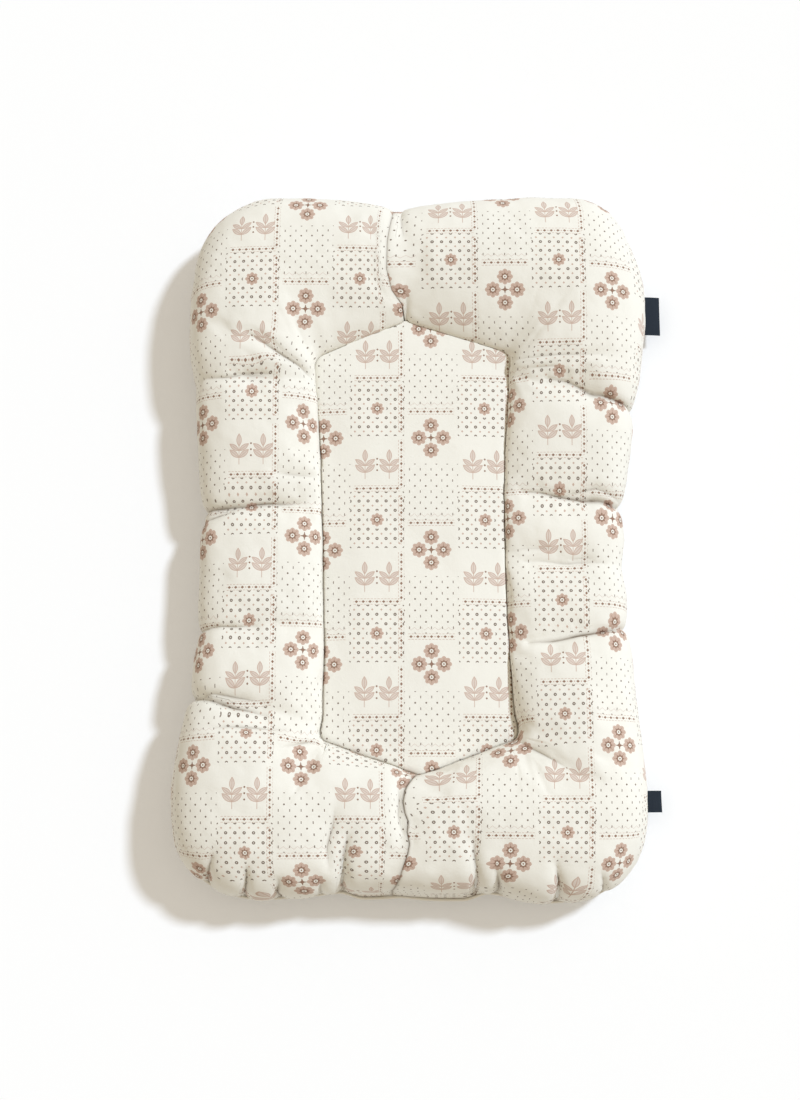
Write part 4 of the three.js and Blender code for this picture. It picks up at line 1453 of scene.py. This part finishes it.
# The two folded ribbon labels
def folded_ribbon(name, joint, length, reach, curl_start):
    """A ribbon folded in half, sewn in at its cut ends and drooping towards its fold."""
    hinge = next(item for item in frame["joints"] if item["name"] == joint)
    root, axis = np.array(hinge["pos_m"]), np.array(hinge["axis"])
    up = np.array((0, 0, 1.0))
    outward = np.cross(up, axis)
    tip = reach - label_half_gap - ribbon_thickness
    shares = np.linspace(0, 1, 16)
    opened = smooth(shares / label_pinch_share)
    gaps = label_pinched_half_gap + (label_half_gap - label_pinched_half_gap) * opened
    top = np.column_stack([label_root + (tip - label_root) * shares, gaps])
    angles = np.linspace(math.pi / 2, -math.pi / 2, 9)[1:-1]
    turn = np.column_stack([tip + label_half_gap * np.cos(angles), label_half_gap * np.sin(angles)])
    middle = np.vstack([top, turn, (top * (1, -1))[::-1]])
    ahead = np.gradient(middle, axis=0)
    ahead /= np.linalg.norm(ahead, axis=1)[:, None]
    aside = np.stack([-ahead[:, 1], ahead[:, 0]], -1) * ribbon_thickness / 2
    section = np.vstack([middle + aside, (middle - aside)[::-1]])
    travel = np.concatenate([[0], np.cumsum(np.linalg.norm(np.diff(middle, axis=0), axis=1))])
    travel = np.concatenate([travel, travel[::-1]])
    outlines, flats = [], []
    for place in np.linspace(-length / 2, length / 2, 25):
        curl = label_curl * math.sin(place / length * label_curl_turn + curl_start)
        droop = (label_droop + curl) * (section[:, 0] / tip) ** 2
        heights = section[:, 1] - droop
        outlines.append(root + outward * section[:, :1] + up * heights[:, None] + axis * place)
        flats.append(np.column_stack([travel, np.full(len(travel), place)]))
    return loft(name, np.stack(outlines), {"flat_cloth": np.vstack(flats)})


for name, joint, length, reach, curl_start in (
    ("side_label", "side_label_flex", side_label_length, side_label_reach, side_label_curl_start),
    ("care_label", "care_label_flex", care_label_length, care_label_reach, care_label_curl_start),
):
    piece = folded_ribbon(f"folded_{name}", joint, length, reach, curl_start)
    finish_piece(piece, navy_ribbon, "navy_ribbon", name, name)


# The floor, the light and the camera
floor_half = 4.0
floor_glow = 0.175  # added to what the camera sees of the floor, so that it stays nearly white
lamp_elevation = math.radians(50)
lamp_azimuth = math.radians(30)
view_elevation = math.radians(77)
view_distance = 2.55
view_centre = Vector((-0.0144, -0.0092, 0.045))
view_reach = 20.0


def open_view(tree):
    """1 for what the camera, gloss and glass see, and 0 for the light that falls on the object."""
    path = add_node(tree, "ShaderNodeLightPath")
    view = Sum(tree, path.outputs["Is Camera Ray"])
    for ray in ("Is Glossy Ray", "Is Transmission Ray"):
        view = view.either(Sum(tree, path.outputs[ray]))
    return view


def white_to_camera(tree, shader, strength):
    """Adds white to what the camera, gloss and glass see of a surface."""
    glow = add_node(tree, "ShaderNodeEmission", Color=(1.0, 1.0, 1.0, 1.0),
                    Strength=open_view(tree) * strength)
    both = tree.nodes.new("ShaderNodeAddShader")
    tree.links.new(shader, both.inputs[0])
    tree.links.new(glow.outputs[0], both.inputs[1])
    return both.outputs[0]


def pale_floor():
    turns = [(-1, -1, 0), (1, -1, 0), (1, 1, 0), (-1, 1, 0)]
    floor = add_mesh("pale_floor", np.array(turns) * floor_half, [(0, 1, 2, 3)])
    material, tree, surface = new_material("pale_floor")
    surface.inputs["Base Color"].default_value = floor_white
    surface.inputs["Roughness"].default_value = 1.0
    surface.inputs["Specular IOR Level"].default_value = 0.0
    output = tree.nodes["Material Output"]
    feed(tree, output.inputs["Surface"], white_to_camera(tree, surface.outputs[0], floor_glow))
    floor.data.materials.append(material)


def studio_light():
    """A soft even sky, warm in the shade, and one lamp from the upper right."""
    world = bpy.data.worlds.new("studio")
    bpy.context.scene.world = world
    world.use_nodes = True
    tree = world.node_tree
    sky = tree.nodes["Background"]
    sky.inputs["Color"].default_value = warm_sky
    white = add_node(tree, "ShaderNodeBackground", Color=(1.0, 1.0, 1.0, 1.0))
    choice = add_node(tree, "ShaderNodeMixShader", Fac=open_view(tree))
    tree.links.new(sky.outputs[0], choice.inputs[1])
    tree.links.new(white.outputs[0], choice.inputs[2])
    tree.links.new(choice.outputs[0], tree.nodes["World Output"].inputs["Surface"])
    lamp = bpy.data.lights.new("key", "SUN")
    lamp.energy = 2.56
    lamp.color = (0.764, 0.862, 1.0)
    lamp.angle = math.radians(7)
    key = bpy.data.objects.new("key", lamp)
    bpy.context.scene.collection.objects.link(key)
    level = math.cos(lamp_elevation)
    across, along = level * math.cos(lamp_azimuth), level * math.sin(lamp_azimuth)
    towards = Vector((across, along, math.sin(lamp_elevation)))
    key.rotation_euler = towards.to_track_quat("Z", "Y").to_euler()


def overhead_camera():
    """Nearly overhead, from beyond the foot end."""
    camera = bpy.data.cameras.new("overhead")
    camera.lens = 77.3
    camera.sensor_width = 36
    camera.clip_end = view_reach
    view = bpy.data.objects.new("overhead", camera)
    bpy.context.scene.collection.objects.link(view)
    back = Vector((0, -math.cos(view_elevation), math.sin(view_elevation)))
    view.location = view_centre + back * view_distance
    view.rotation_euler = back.to_track_quat("Z", "Y").to_euler()
    bpy.context.scene.camera = view


pale_floor()
studio_light()
overhead_camera()
bpy.context.scene.view_settings.view_transform = "Standard"
